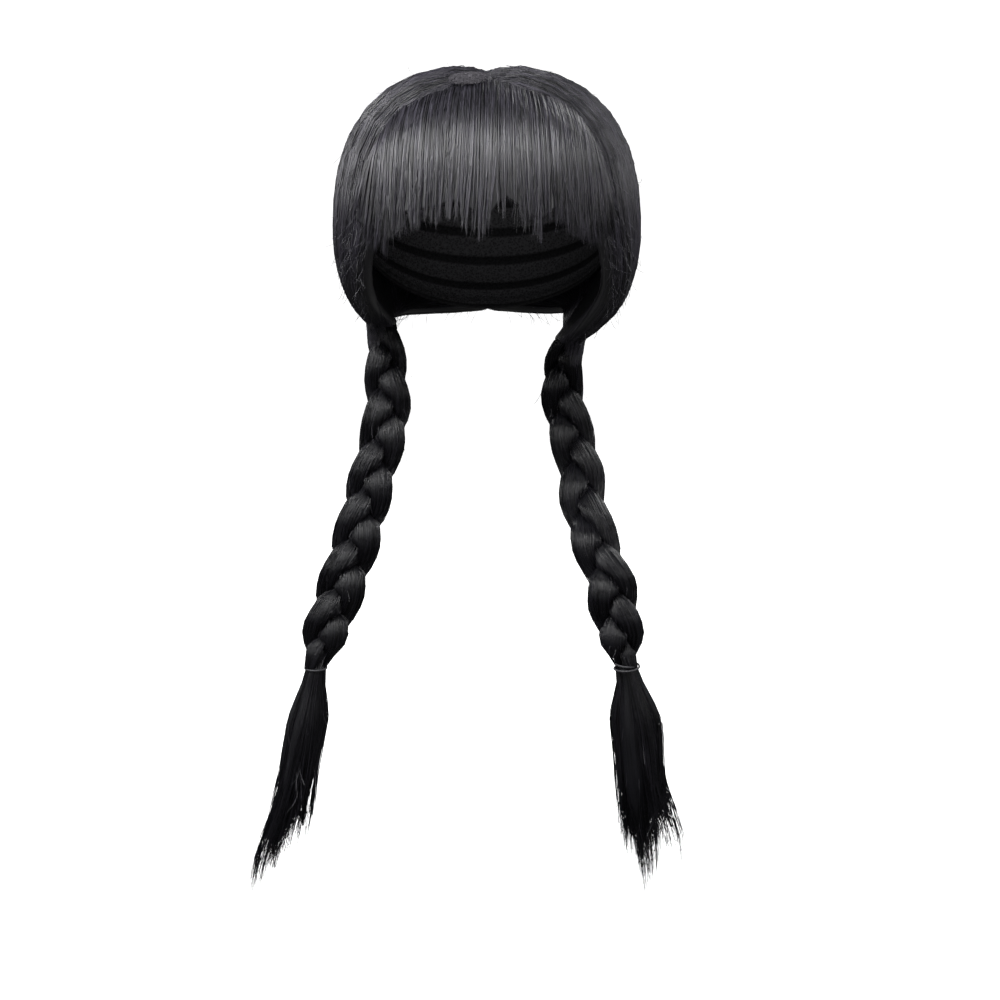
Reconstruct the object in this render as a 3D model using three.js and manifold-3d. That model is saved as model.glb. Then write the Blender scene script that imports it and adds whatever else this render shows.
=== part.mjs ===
// Pigtail wig with a cut fringe: a cap carries two halves of hair that meet at a centre parting,
// and each half is gathered behind the ear, plaited from three strands, tied and left loose below.
// Millimetres, +Z up. The face looks along -Y, and left and right are as seen from the front.
// The origin is where the crown of the head touches the inside of the cap.
import * as THREE from "three";
import Module from "manifold-3d";

const wasm = await Module();
wasm.setup();

// Head inside the cap, measured from the middle of its widest level
const HEAD_HALF_WIDTH = 76.5;
const HEAD_FRONT = 95;
const HEAD_BACK = 94;
const HEAD_RISE = 85;
const HEAD_DROP = 75;

// Cap: its wall, and how far down from straight up its edge lies, in degrees
const CAP_WALL = 1.5;
const CAP_EDGE_FRONT_DEG = 62;
const CAP_EDGE_BACK_DEG = 128;

// Depth of the hair over the cap
const HAIR_TOP = 11.8;
const HAIR_SIDE = 15;
const HAIR_FRONT = 11.5;
const HAIR_BACK = 15;
const HAIR_BELOW = 18.5;

// Clearances: between layers of hair, between hair and cap, round the necks and end to end
const LAYER_GAP = 0.8;
const SEAT_GAP = 1.4;
const TIE_GAP = 1;
const END_GAP = 0.35;

// Parting between the halves, and the ribs that the hair falls in
const PARTING_DEPTH = 3.5;
const PARTING_SHARE = 0.05;
const RIBS = 5;
const RIB_HEIGHT = 1.5;

// Fringe: how far it falls below the top of the hair, the share of the half width that it spans,
// how far down its roots and its backing lie in degrees from straight up, how much further down
// the roots lie at its two sides, and its locks
const FRINGE_FALL = 105;
const FRINGE_SPREAD = 0.86;
const FRINGE_HEM_DEG = 77;
const FRINGE_ROOT_DEG = 33;
const FRINGE_ROOT_SWEEP_DEG = 15;
const FRINGE_SIDE_DEPTH = 7;
const LOCK_HALF_WIDTH = 6.8;
const LOCK_THICKNESS = 4.2;

// Matt patch of knotted roots beside the front end of the parting
const PATCH_LENGTH = 24;
const PATCH_WIDTH = 23;
const PATCH_THICKNESS = 3.4;
const PATCH_PROUD = 0.5;
const PATCH_OUT = 11;
const PATCH_AHEAD = 60;

// Plaits: the length over which one strand comes back to where it was
const PLAIT_PITCH = 91;
const PLAIT_HALF_WIDTH = 16.5;
const PLAIT_HALF_DEPTH = 12;
const STRAND_GAP = 0.4;
const STRAND_SPREAD = 0.63;

// Ties and the neck of hair that they hold
const NECK_RADIUS = 7;
const BAND_RADIUS = 0.7;
const BAND_PITCH = 3.4;

// How far below the crown the hair is gathered, and its oval there
const GATHER_DOWN = 150;
const GATHER_HALF_WIDTH = 10;
const GATHER_HALF_DEPTH = 12.5;
const GATHER_FROM_SHARE = 0.74;
const FLOW_EASE = 1.15;

// How far the plaits hang down from there, and swing outward and forward by their ties
const PLAIT_FALL = 205;
const PLAIT_SWING = 40;
const PLAIT_AHEAD = 60;

// Loose tails: their length, half their width and how far their tips lean sideways
const TAIL_FALL = 145;
const TAIL_SPREAD = 16;
const TAIL_LEAN = 28;

// What is different about the two sides, in shares of the sizes above. out and back place the
// gathered hair, in shares of the hair's half width and length; bulge is where along the pitch
// a strand first stands out; turns counts the windings of the tie.
const SIDES = {
  left: {
    sign: -1,
    out: 0.71,
    back: 0.217,
    down: 0.967,
    fall: 1.022,
    swing: 1.04,
    ahead: 0.93,
    bulge: 0.35,
    turns: 1,
  },
  right: {
    sign: 1,
    out: 0.548,
    back: 0.299,
    down: 1.04,
    fall: 0.9585,
    swing: 0.9,
    ahead: 1.13,
    bulge: 0.093,
    turns: 2,
  },
};

// Guides for the flow of a half, from the parting to the gathered hair. side, along and up are
// shares of the hair's half width, its length ahead or behind, and its rise or drop.
const FLOW_GUIDES = [
  [
    { side: 0, along: -0.58, up: 0.83 },
    { side: 0.5, along: -0.6, up: 0.62 },
    { side: 0.7, along: -0.66, up: 0.05 },
    { side: 0.78, along: -0.34, up: -0.4 },
  ],
  [
    { side: 0, along: 0.06, up: 1 },
    { side: 0.62, along: -0.14, up: 0.76 },
    { side: 0.96, along: -0.22, up: 0.1 },
    { side: 0.92, along: -0.08, up: -0.48 },
  ],
  [
    { side: 0, along: 0.7, up: 0.66 },
    { side: 0.5, along: 0.68, up: 0.5 },
    { side: 0.84, along: 0.5, up: 0.02 },
    { side: 0.88, along: 0.36, up: -0.52 },
  ],
  [
    { side: 0, along: 0.76, up: -0.62 },
    { side: 0.22, along: 0.72, up: -0.64 },
    { side: 0.42, along: 0.62, up: -0.63 },
    { side: 0.58, along: 0.46, up: -0.61 },
  ],
];

// Locks of the fringe, from left to right: the share of the hair's half width where a lock ends,
// the share of the fringe's fall that it reaches, and how far its tip leans sideways, in lock widths
const FRINGE_LOCKS = [
  { side: -0.84, fall: 0.93, lean: 0 },
  { side: -0.75, fall: 1, lean: 0.1 },
  { side: -0.65, fall: 0.985, lean: 0 },
  { side: -0.54, fall: 0.91, lean: -0.1 },
  { side: -0.42, fall: 0.885, lean: -0.15 },
  { side: -0.31, fall: 0.865, lean: -0.2 },
  { side: -0.2, fall: 0.83, lean: -0.3 },
  { side: -0.08, fall: 0.885, lean: -0.4 },
  { side: 0.01, fall: 0.92, lean: -0.3 },
  { side: 0.12, fall: 0.8, lean: -0.1 },
  { side: 0.23, fall: 0.87, lean: 0.2 },
  { side: 0.33, fall: 0.95, lean: 0.15 },
  { side: 0.44, fall: 0.86, lean: 0 },
  { side: 0.54, fall: 0.9, lean: 0.1 },
  { side: 0.64, fall: 0.985, lean: 0.1 },
  { side: 0.74, fall: 0.99, lean: 0.1 },
  { side: 0.84, fall: 0.92, lean: 0.1 },
];

// Course of a plait: shares of its fall, of its swing and of its way ahead
const PLAIT_COURSE = {
  left: [
    { down: 0, swing: 0, ahead: 0 },
    { down: 0.17, swing: -0.06, ahead: 0.21 },
    { down: 0.29, swing: -0.04, ahead: 0.36 },
    { down: 0.41, swing: 0.11, ahead: 0.5 },
    { down: 0.61, swing: 0.37, ahead: 0.71 },
    { down: 0.73, swing: 0.56, ahead: 0.82 },
    { down: 0.9, swing: 0.84, ahead: 0.95 },
    { down: 1, swing: 1, ahead: 1 },
  ],
  right: [
    { down: 0, swing: 0, ahead: 0 },
    { down: 0.12, swing: -0.08, ahead: -0.04 },
    { down: 0.25, swing: 0.01, ahead: 0.01 },
    { down: 0.38, swing: 0.2, ahead: 0.19 },
    { down: 0.5, swing: 0.29, ahead: 0.41 },
    { down: 0.61, swing: 0.45, ahead: 0.66 },
    { down: 0.73, swing: 0.7, ahead: 0.84 },
    { down: 0.86, swing: 0.84, ahead: 0.93 },
    { down: 1, swing: 1, ahead: 1 },
  ],
};

// Swell of a plait from the gathered hair to the tie: shares of its fall and of its half width and depth
const PLAIT_SWELL = [
  { down: 0, width: 0.6, depth: 1 },
  { down: 0.08, width: 0.76, depth: 1 },
  { down: 0.2, width: 0.89, depth: 1 },
  { down: 0.5, width: 0.95, depth: 1 },
  { down: 0.8, width: 1, depth: 1 },
  { down: 0.89, width: 0.95, depth: 0.95 },
  { down: 0.945, width: 0.75, depth: 0.8 },
  { down: 0.98, width: 0.44, depth: 0.58 },
  { down: 1, width: 0.42, depth: 0.57 },
];

// Loose tails, in shares of the sizes above; bow is how late the lean comes. Each lock has a share
// of the length, and where its middle and its tip stand across and ahead of the tie, in shares of
// the spread.
const TAILS = {
  left: {
    fall: 0.98,
    spread: 0.91,
    lean: -1,
    bow: 1,
    locks: [
      { length: 0.86, midX: -0.75, midY: 0.1, tipX: -0.55, tipY: 0.1 },
      { length: 1, midX: -0.2, midY: -0.6, tipX: -0.75, tipY: -0.2 },
      { length: 0.93, midX: 0, midY: 0.6, tipX: -0.2, tipY: 0.3 },
      { length: 0.8, midX: 0.35, midY: -0.5, tipX: 0.25, tipY: -0.4 },
      { length: 0.86, midX: 0.7, midY: 0.05, tipX: 0.75, tipY: 0.1 },
    ],
  },
  right: {
    fall: 1.02,
    spread: 1.09,
    lean: 0.57,
    bow: 0.7,
    locks: [
      { length: 0.8, midX: -0.75, midY: 0.1, tipX: -0.5, tipY: 0.1 },
      { length: 1, midX: -0.3, midY: -0.55, tipX: -0.1, tipY: -0.2 },
      { length: 0.95, midX: -0.05, midY: 0.6, tipX: 0.1, tipY: 0.3 },
      { length: 0.78, midX: 0.4, midY: -0.5, tipX: 0.6, tipY: -0.3 },
      { length: 0.84, midX: 0.75, midY: 0.1, tipX: 1.15, tipY: 0.1 },
    ],
  },
};

// Facets
const CAP_AROUND = 24;
const CAP_DOWN = 7;
const HALF_ACROSS = 16;
const HALF_ALONG = 12;
const STRAND_SIDES = 8;
const STRAND_STEP = 5;
const LOCK_SIDES = 6;
const LOCK_STEPS = 6;
const PATCH_AROUND = 16;
const BAND_STEPS = 20;
const BAND_SIDES = 6;

// Squareness of the rounded forms: 2 is an ellipse
const PLAN_POWER = 2.2;
const HAIR_POWER = 2.5;
const HEAD_POWER = 2.2;
const BELOW_POWER = 2;

const CENTRE = new THREE.Vector3(0, 0, -HEAD_RISE);
const HEAD = {
  halfWidth: HEAD_HALF_WIDTH,
  front: HEAD_FRONT,
  back: HEAD_BACK,
  rise: HEAD_RISE,
  drop: HEAD_DROP,
  power: HEAD_POWER,
};
const HAIR = {
  halfWidth: HEAD_HALF_WIDTH + CAP_WALL + HAIR_SIDE,
  front: HEAD_FRONT + CAP_WALL + HAIR_FRONT,
  back: HEAD_BACK + CAP_WALL + HAIR_BACK,
  rise: HEAD_RISE + CAP_WALL + HAIR_TOP,
  drop: HEAD_DROP + CAP_WALL + HAIR_BELOW,
  power: HAIR_POWER,
};
const CROWN_Z = CENTRE.z + HAIR.rise;

const { lerp, smoothstep, degToRad } = THREE.MathUtils;

// Where a side's hair is gathered and how its plait hangs, in millimetres
function placeOf(name) {
  const side = SIDES[name];
  return {
    sign: side.sign,
    turns: side.turns,
    out: side.out * HAIR.halfWidth,
    back: side.back * HAIR.back,
    down: side.down * GATHER_DOWN,
    fall: side.fall * PLAIT_FALL,
    swing: side.swing * PLAIT_SWING,
    ahead: side.ahead * PLAIT_AHEAD,
    bulge: side.bulge * PLAIT_PITCH,
  };
}

// The same form with each half axis longer by an amount
function grown(form, by) {
  return {
    halfWidth: form.halfWidth + by,
    front: form.front + by,
    back: form.back + by,
    rise: form.rise + by,
    drop: form.drop + by,
    power: form.power,
  };
}

// The point of a form in a direction from its centre
function onForm(form, direction) {
  const power = direction.z > 0 ? form.power : BELOW_POWER;
  const length = direction.y < 0 ? form.front : form.back;
  const height = direction.z > 0 ? form.rise : form.drop;
  const plan =
    Math.pow(Math.abs(direction.x) / form.halfWidth, PLAN_POWER) +
    Math.pow(Math.abs(direction.y) / length, PLAN_POWER);
  const total = Math.pow(plan, power / PLAN_POWER) + Math.pow(Math.abs(direction.z) / height, power);
  return direction.clone().multiplyScalar(Math.pow(total, -1 / power)).add(CENTRE);
}

// A table's value at a share, running smoothly through its rows
function tableValue(rows, key, column, at) {
  const last = rows.length - 1;
  let row = 0;
  while (row < last - 1 && rows[row + 1][key] < at) row += 1;
  const before = rows[Math.max(row - 1, 0)];
  const from = rows[row];
  const to = rows[row + 1];
  const after = rows[Math.min(row + 2, last)];
  const span = to[key] - from[key];
  const t = (at - from[key]) / span;
  const slopeFrom = ((to[column] - before[column]) / (to[key] - before[key])) * span;
  const slopeTo = ((after[column] - from[column]) / (after[key] - from[key])) * span;
  const t2 = t * t;
  const t3 = t2 * t;
  return (
    (2 * t3 - 3 * t2 + 1) * from[column] +
    (t3 - 2 * t2 + t) * slopeFrom +
    (3 * t2 - 2 * t3) * to[column] +
    (t3 - t2) * slopeTo
  );
}

// A closed solid from points and triangles, turned to face out
function solidOf(points, triangles) {
  const vertProperties = new Float32Array(points.flatMap((p) => [p.x, p.y, p.z]));
  const build = (list) =>
    new wasm.Manifold(new wasm.Mesh({ numProp: 3, vertProperties, triVerts: new Uint32Array(list.flat()) }));
  const made = build(triangles);
  return made.volume() > 0 ? made : build(triangles.map(([a, b, c]) => [a, c, b]));
}

// A solid lofted through rings of points, closed at each end round a tip
function loft(rings, firstTip, lastTip) {
  const around = rings[0].length;
  const points = [...rings.flat(), firstTip, lastTip];
  const first = points.length - 2;
  const last = points.length - 1;
  const triangles = [];
  for (let i = 0; i < around; i += 1) {
    const next = (i + 1) % around;
    triangles.push([first, next, i]);
    for (let j = 0; j + 1 < rings.length; j += 1) {
      const a = j * around;
      const b = a + around;
      triangles.push([a + i, a + next, b + next], [a + i, b + next, b + i]);
    }
    const end = (rings.length - 1) * around;
    triangles.push([last, end + i, end + next]);
  }
  return solidOf(points, triangles);
}

function middleOf(ring) {
  const sum = ring.reduce((total, p) => total.add(p), new THREE.Vector3());
  return sum.divideScalar(ring.length);
}

// A solid lofted through rings, closed flat at both ends
function closedLoft(rings) {
  return loft(rings, middleOf(rings[0]), middleOf(rings[rings.length - 1]));
}

// A wall between two grids of points, closed round its four edges
function wall(outer, inner) {
  const rings = outer.map((row, j) => [...row, ...inner[j].slice().reverse()]);
  const across = outer[0].length;
  const around = 2 * across;
  const points = rings.flat();
  const triangles = [];
  for (let j = 0; j + 1 < rings.length; j += 1) {
    for (let i = 0; i < around; i += 1) {
      const next = (i + 1) % around;
      const a = j * around;
      const b = a + around;
      triangles.push([a + i, a + next, b + next], [a + i, b + next, b + i]);
    }
  }
  const end = (rings.length - 1) * around;
  for (let i = 0; i + 1 < across; i += 1) {
    const under = around - 1 - i;
    triangles.push([i, under, under - 1], [i, under - 1, i + 1]);
    triangles.push([end + i, end + under - 1, end + under], [end + i, end + i + 1, end + under - 1]);
  }
  return solidOf(points, triangles);
}

// The largest body left after a cut
function largest(solid) {
  return solid.decompose().reduce((best, body) => (body.volume() > best.volume() ? body : best));
}

function meshOf(name, solid, material) {
  const { numProp, vertProperties, triVerts } = solid.getMesh();
  const count = vertProperties.length / numProp;
  const positions = new Float32Array(count * 3);
  for (let i = 0; i < count; i += 1) {
    positions.set(vertProperties.subarray(i * numProp, i * numProp + 3), i * 3);
  }
  const geometry = new THREE.BufferGeometry();
  geometry.setAttribute("position", new THREE.BufferAttribute(positions, 3));
  geometry.setIndex(new THREE.BufferAttribute(triVerts, 1));
  geometry.computeVertexNormals();
  const mesh = new THREE.Mesh(geometry, material);
  mesh.name = name;
  return mesh;
}

// Cap: a thin bowl that reaches lower at the nape than at the brow
function makeCap() {
  const ringAt = (form, share) => {
    const ring = [];
    for (let i = 0; i < CAP_AROUND; i += 1) {
      const turn = (2 * Math.PI * i) / CAP_AROUND;
      const backward = (1 - Math.cos(turn)) / 2;
      const down = degToRad(lerp(CAP_EDGE_FRONT_DEG, CAP_EDGE_BACK_DEG, backward) * share);
      const flat = Math.sin(down);
      const way = new THREE.Vector3(Math.sin(turn) * flat, -Math.cos(turn) * flat, Math.cos(down));
      ring.push(onForm(form, way));
    }
    return ring;
  };
  const outside = grown(HEAD, CAP_WALL);
  const shares = Array.from({ length: CAP_DOWN }, (_, j) => (j + 1) / CAP_DOWN);
  const outer = shares.map((share) => ringAt(outside, share));
  const inner = shares.map((share) => ringAt(HEAD, share)).reverse();
  const up = new THREE.Vector3(0, 0, 1);
  return loft([...outer, ...inner], onForm(outside, up), onForm(HEAD, up));
}

// A guide's row as a direction from the centre of the hair
function guideDirection({ side, along, up }) {
  return new THREE.Vector3(
    side * HAIR.halfWidth,
    along * (along < 0 ? HAIR.front : HAIR.back),
    up * (up > 0 ? HAIR.rise : HAIR.drop),
  );
}

// Point of the oval end of the gathered hair: 0 is the front, 1 the back, round the outer or inner side
function gatherPoint(place, share, outward) {
  const turn = lerp(0.04, 0.96, share) * Math.PI;
  return new THREE.Vector3(
    place.out + (outward ? 1 : -1) * GATHER_HALF_WIDTH * Math.sin(turn),
    place.back - GATHER_HALF_DEPTH * Math.cos(turn),
    -place.down,
  );
}

// Half of the hair: a thick wall from the parting round the side of the head, drawn together
// into an oval bundle where the plait starts
function makeHalf(place) {
  const stations = FLOW_GUIDES[0].map(
    (_, k) => new THREE.CatmullRomCurve3(FLOW_GUIDES.map((guide) => guideDirection(guide[k]))),
  );
  const rest = grown(HEAD, CAP_WALL + SEAT_GAP);
  const pointAt = (share, flow, outward) => {
    const end = gatherPoint(place, share, outward);
    const course = stations.map((station) => station.getPoint(share));
    course.push(end.clone().sub(CENTRE));
    const direction = new THREE.CatmullRomCurve3(course).getPoint(flow);
    const edge = smoothstep(share, 0, 0.14) * smoothstep(1 - share, 0, 0.1);
    const rib = RIB_HEIGHT * (Math.abs(Math.sin(Math.PI * RIBS * share)) - 1) * smoothstep(flow, 0, 0.2);
    const dip = PARTING_DEPTH * (1 - smoothstep(flow, 0, PARTING_SHARE));
    const under = onForm(rest, direction);
    const over = onForm(grown(HAIR, outward ? rib - dip : 0), direction);
    const onHead = outward ? under.lerp(over, lerp(0.5, 1, edge)) : under;
    return onHead.lerp(end, smoothstep(flow, GATHER_FROM_SHARE, 1));
  };
  const flows = Array.from({ length: HALF_ALONG + 1 }, (_, j) => Math.pow(j / HALF_ALONG, FLOW_EASE));
  const shares = Array.from({ length: HALF_ACROSS + 1 }, (_, i) => i / HALF_ACROSS);
  const grid = (outward) =>
    flows.map((flow) =>
      shares.map((share) => {
        const point = pointAt(share, flow, outward);
        point.x = place.sign * (point.x + LAYER_GAP / 2);
        return point;
      }),
    );
  return wall(grid(true), grid(false));
}

// Fringe: locks that fall forward from the crown, on a backing that lies on the cap.
// With more grow it is the space that the other pieces leave for it.
function makeFringe(grow) {
  const direction = (side, down) => {
    const ahead = Math.pow(1 - Math.pow(Math.abs(side), PLAN_POWER), 1 / PLAN_POWER);
    const up = Math.cos(down);
    return new THREE.Vector3(
      side * HAIR.halfWidth * Math.sin(down),
      -ahead * HAIR.front * Math.sin(down),
      up * (up > 0 ? HAIR.rise : HAIR.drop),
    );
  };
  const rootAt = (side) => {
    const sweep = FRINGE_ROOT_SWEEP_DEG * Math.pow(side / FRINGE_SPREAD, 2);
    return degToRad(FRINGE_ROOT_DEG + sweep) - grow / HAIR.rise;
  };
  const backing = () => {
    const across = 10;
    const along = 5;
    const hem = degToRad(FRINGE_HEM_DEG) + grow / HAIR.rise;
    const grid = (outer) =>
      Array.from({ length: along + 1 }, (_, j) =>
        Array.from({ length: across + 1 }, (_, i) => {
          const share = lerp(-FRINGE_SPREAD, FRINGE_SPREAD, i / across);
          const side = share * (1 + grow / HAIR.halfWidth);
          const way = direction(side * lerp(0.85, 1, j / along), lerp(rootAt(share), hem, j / along));
          const sideways = Math.pow(Math.abs(side) / FRINGE_SPREAD, 2);
          if (outer) return onForm(grown(HAIR, grow - LOCK_THICKNESS / 2), way);
          const seat = onForm(grown(HEAD, CAP_WALL + SEAT_GAP - grow), way);
          const high = onForm(grown(HAIR, -FRINGE_SIDE_DEPTH - grow), way);
          return seat.lerp(high, sideways);
        }),
      );
    return wall(grid(true), grid(false));
  };
  const lock = ({ side, fall, lean }) => {
    const tipUp = (CROWN_Z - fall * FRINGE_FALL - CENTRE.z) / HAIR.rise;
    const tip = Math.acos(THREE.MathUtils.clamp(tipUp, -1, 1)) + grow / HAIR.rise;
    const root = rootAt(side);
    const rings = [];
    const middles = [];
    for (let j = 0; j <= LOCK_STEPS; j += 1) {
      const t = j / LOCK_STEPS;
      const sideways = side * lerp(0.85, 1, t) + (lean * t * t * LOCK_HALF_WIDTH * 2) / HAIR.halfWidth;
      const way = direction(sideways, lerp(root, tip, t));
      const inset = LOCK_THICKNESS / 2 + t * t;
      const middle = onForm(grown(HAIR, -inset), way);
      middles.push(middle);
      const out = onForm(HAIR, way).sub(middle).normalize();
      const next = onForm(grown(HAIR, -inset), direction(sideways, lerp(root, tip, t) + 0.02));
      const along = next.sub(middle).normalize();
      const across = along.clone().cross(out).normalize();
      const spread = Math.sin(lerp(root, tip, t)) * (1 - 0.8 * smoothstep(t, 0.8, 1));
      const halfWidth = LOCK_HALF_WIDTH * spread + grow;
      const halfThickness = (LOCK_THICKNESS / 2) * lerp(1, 0.5, smoothstep(t, 0.7, 1)) + grow;
      rings.push(
        Array.from({ length: LOCK_SIDES }, (_, i) => {
          const turn = (2 * Math.PI * i) / LOCK_SIDES;
          return middle
            .clone()
            .addScaledVector(across, halfWidth * Math.cos(turn))
            .addScaledVector(out, halfThickness * Math.sin(turn));
        }),
      );
    }
    return loft(rings, middles[0], middles[LOCK_STEPS]);
  };
  return wasm.Manifold.union([backing(), ...FRINGE_LOCKS.map(lock)]);
}

// Patch: a low oval pad set into the hair beside the parting
function makePatch(grow) {
  const levels = [-0.9, -0.45, 0.1, 0.6, 0.92];
  const across = PATCH_WIDTH / 2 + grow;
  const along = PATCH_LENGTH / 2 + grow;
  const pointAt = (turn, level) => {
    const reach = Math.sqrt(1 - level * level);
    const x = -PATCH_OUT + across * reach * Math.cos(turn);
    const y = -PATCH_AHEAD + along * reach * Math.sin(turn);
    const surface = onForm(HAIR, new THREE.Vector3(x, y, HAIR.rise));
    surface.z += PATCH_PROUD - PATCH_THICKNESS / 2 + level * (PATCH_THICKNESS / 2 + grow);
    return surface;
  };
  const rings = levels.map((level) =>
    Array.from({ length: PATCH_AROUND }, (_, i) => pointAt((2 * Math.PI * i) / PATCH_AROUND, level)),
  );
  return loft(rings, pointAt(0, -1), pointAt(0, 1));
}

// Middle line of a plait at a share of its fall
function plaitMiddle(name, share) {
  const place = placeOf(name);
  const rows = PLAIT_COURSE[name];
  return new THREE.Vector3(
    place.sign * (place.out + place.swing * tableValue(rows, "down", "swing", share)),
    place.back - place.ahead * tableValue(rows, "down", "ahead", share),
    -place.down - END_GAP - (place.fall - END_GAP) * share,
  );
}

// Where a strand's middle stands beside the plait's, and how wide and deep the plait is there
function strandPlace(name, strand, share) {
  const place = placeOf(name);
  const halfWidth = PLAIT_HALF_WIDTH * tableValue(PLAIT_SWELL, "down", "width", share);
  const halfDepth = PLAIT_HALF_DEPTH * tableValue(PLAIT_SWELL, "down", "depth", share);
  const phase = 2 * Math.PI * ((share * place.fall - place.bulge) / PLAIT_PITCH + strand / 3) - Math.PI / 2;
  return {
    x: (1 - STRAND_SPREAD) * halfWidth * Math.sin(phase),
    y: -(1 - STRAND_SPREAD) * halfDepth * Math.sin(2 * phase),
    halfWidth,
    halfDepth,
  };
}

// Directions from a strand to its two neighbours at a share of the plait
function neighbours(name, strand, share) {
  const own = strandPlace(name, strand, share);
  return [1, 2].map((step) => {
    const other = strandPlace(name, (strand + step) % 3, share);
    return new THREE.Vector2(other.x - own.x, other.y - own.y);
  });
}

// Strand of a plait: each level is an oval round the strand's middle, cut halfway to its two
// neighbours, so that the three strands press together. The cuts face the neighbours as they
// stand between this level and the next, which keeps the strands apart all the way along.
function makeStrand(name, strand) {
  const steps = Math.round(placeOf(name).fall / STRAND_STEP);
  const rings = [];
  const middles = [];
  for (let j = 0; j <= steps; j += 1) {
    const share = j / steps;
    const own = strandPlace(name, strand, share);
    const middle = plaitMiddle(name, share).add(new THREE.Vector3(own.x, own.y, 0));
    const here = neighbours(name, strand, share);
    const cuts = [-0.5, 0.5].flatMap((near) => {
      const level = THREE.MathUtils.clamp(share + near / steps, 0, 1);
      return neighbours(name, strand, level).map((way, i) => {
        const facing = way.normalize();
        return { facing, reach: (here[i].dot(facing) - STRAND_GAP) / 2 };
      });
    });
    const wide = STRAND_SPREAD * own.halfWidth;
    const deep = STRAND_SPREAD * own.halfDepth;
    middles.push(middle);
    rings.push(
      Array.from({ length: STRAND_SIDES }, (_, i) => {
        const turn = (2 * Math.PI * i) / STRAND_SIDES;
        const way = new THREE.Vector2(Math.cos(turn), Math.sin(turn));
        let reach = 1 / Math.hypot(way.x / wide, way.y / deep);
        cuts.forEach((cut) => {
          const toward = way.dot(cut.facing);
          if (toward > 0.01) reach = Math.min(reach, cut.reach / toward);
        });
        return new THREE.Vector3(middle.x + reach * way.x, middle.y + reach * way.y, middle.z);
      }),
    );
  }
  return loft(rings, middles[0], middles[steps]);
}

// Tie: a thin elastic ring, or one wound twice that crosses over itself at the side
function makeTie(name) {
  const { turns, sign } = SIDES[name];
  const middle = plaitMiddle(name, 1);
  const radius = NECK_RADIUS + TIE_GAP + BAND_RADIUS + (turns > 1 ? BAND_RADIUS * 1.3 : 0);
  class BandCurve extends THREE.Curve {
    getPoint(t, target = new THREE.Vector3()) {
      const turn = 2 * Math.PI * turns * t;
      const wave = turns > 1 ? turn / turns : Math.PI / 2;
      const reach = radius + (turns > 1 ? BAND_RADIUS * 1.3 * Math.sin(wave) : 0);
      const rise = turns > 1 ? (BAND_PITCH / 2) * Math.cos(wave) : 0;
      const across = -sign * reach * Math.cos(turn);
      return target.set(middle.x + across, middle.y + reach * Math.sin(turn), middle.z + rise);
    }
  }
  const tube = new THREE.TubeGeometry(new BandCurve(), BAND_STEPS * turns, BAND_RADIUS, BAND_SIDES, true);
  return solidOfTube(tube, BAND_STEPS * turns, BAND_SIDES);
}

// A closed tube's geometry repeats its first ring and its first side, which are joined here
function solidOfTube(tube, steps, sides) {
  const position = tube.getAttribute("position");
  const points = [];
  for (let j = 0; j < steps; j += 1) {
    for (let i = 0; i < sides; i += 1) {
      points.push(new THREE.Vector3().fromBufferAttribute(position, j * (sides + 1) + i));
    }
  }
  const triangles = [];
  for (let j = 0; j < steps; j += 1) {
    for (let i = 0; i < sides; i += 1) {
      const a = j * sides;
      const b = ((j + 1) % steps) * sides;
      const next = (i + 1) % sides;
      triangles.push([a + i, a + next, b + next], [a + i, b + next, b + i]);
    }
  }
  return solidOf(points, triangles);
}

// Tail: loose locks below the tie, fused where the tie holds them
function makeTail(name) {
  const { bow, locks } = TAILS[name];
  const fall = TAIL_FALL * TAILS[name].fall;
  const spread = TAIL_SPREAD * TAILS[name].spread;
  const lean = TAIL_LEAN * TAILS[name].lean;
  const top = plaitMiddle(name, 1);
  top.z -= END_GAP;
  const lock = ({ length, midX, midY, tipX, tipY }) => {
    const rings = [];
    const steps = LOCK_STEPS + 1;
    for (let j = 0; j <= steps; j += 1) {
      const t = j / steps;
      const swell = smoothstep(t, 0, 0.32);
      const late = smoothstep(t, 0.5, 1);
      const x = lerp(lerp(0.18, 0.6, swell) * midX, tipX, late) * spread;
      const y = lerp(lerp(0.2, 0.5, swell) * midY, tipY * 0.6, late) * spread;
      const radius = lerp(NECK_RADIUS * 0.62, spread * 0.46, swell) * lerp(1, 0.16, smoothstep(t, 0.55, 1));
      const leaning = lean * Math.pow(t * length, bow);
      const middle = new THREE.Vector3(top.x + leaning + x, top.y + y, top.z - fall * length * t);
      rings.push(
        Array.from({ length: LOCK_SIDES }, (_, i) => {
          const turn = (2 * Math.PI * i) / LOCK_SIDES;
          return new THREE.Vector3(radius * Math.cos(turn), radius * Math.sin(turn), 0).add(middle);
        }),
      );
    }
    return closedLoft(rings);
  };
  return wasm.Manifold.union(locks.map(lock));
}

function hairMaterial(colour, roughness) {
  return new THREE.MeshStandardMaterial({ color: colour, roughness, metalness: 0 });
}

const materials = {
  cap: hairMaterial("#141416", 0.95),
  hair: hairMaterial("#17171b", 0.42),
  fringe: hairMaterial("#1a1a1f", 0.4),
  plait: hairMaterial("#121214", 0.45),
  patch: hairMaterial("#47454c", 0.9),
  band: hairMaterial("#3c3c40", 0.6),
};

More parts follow.
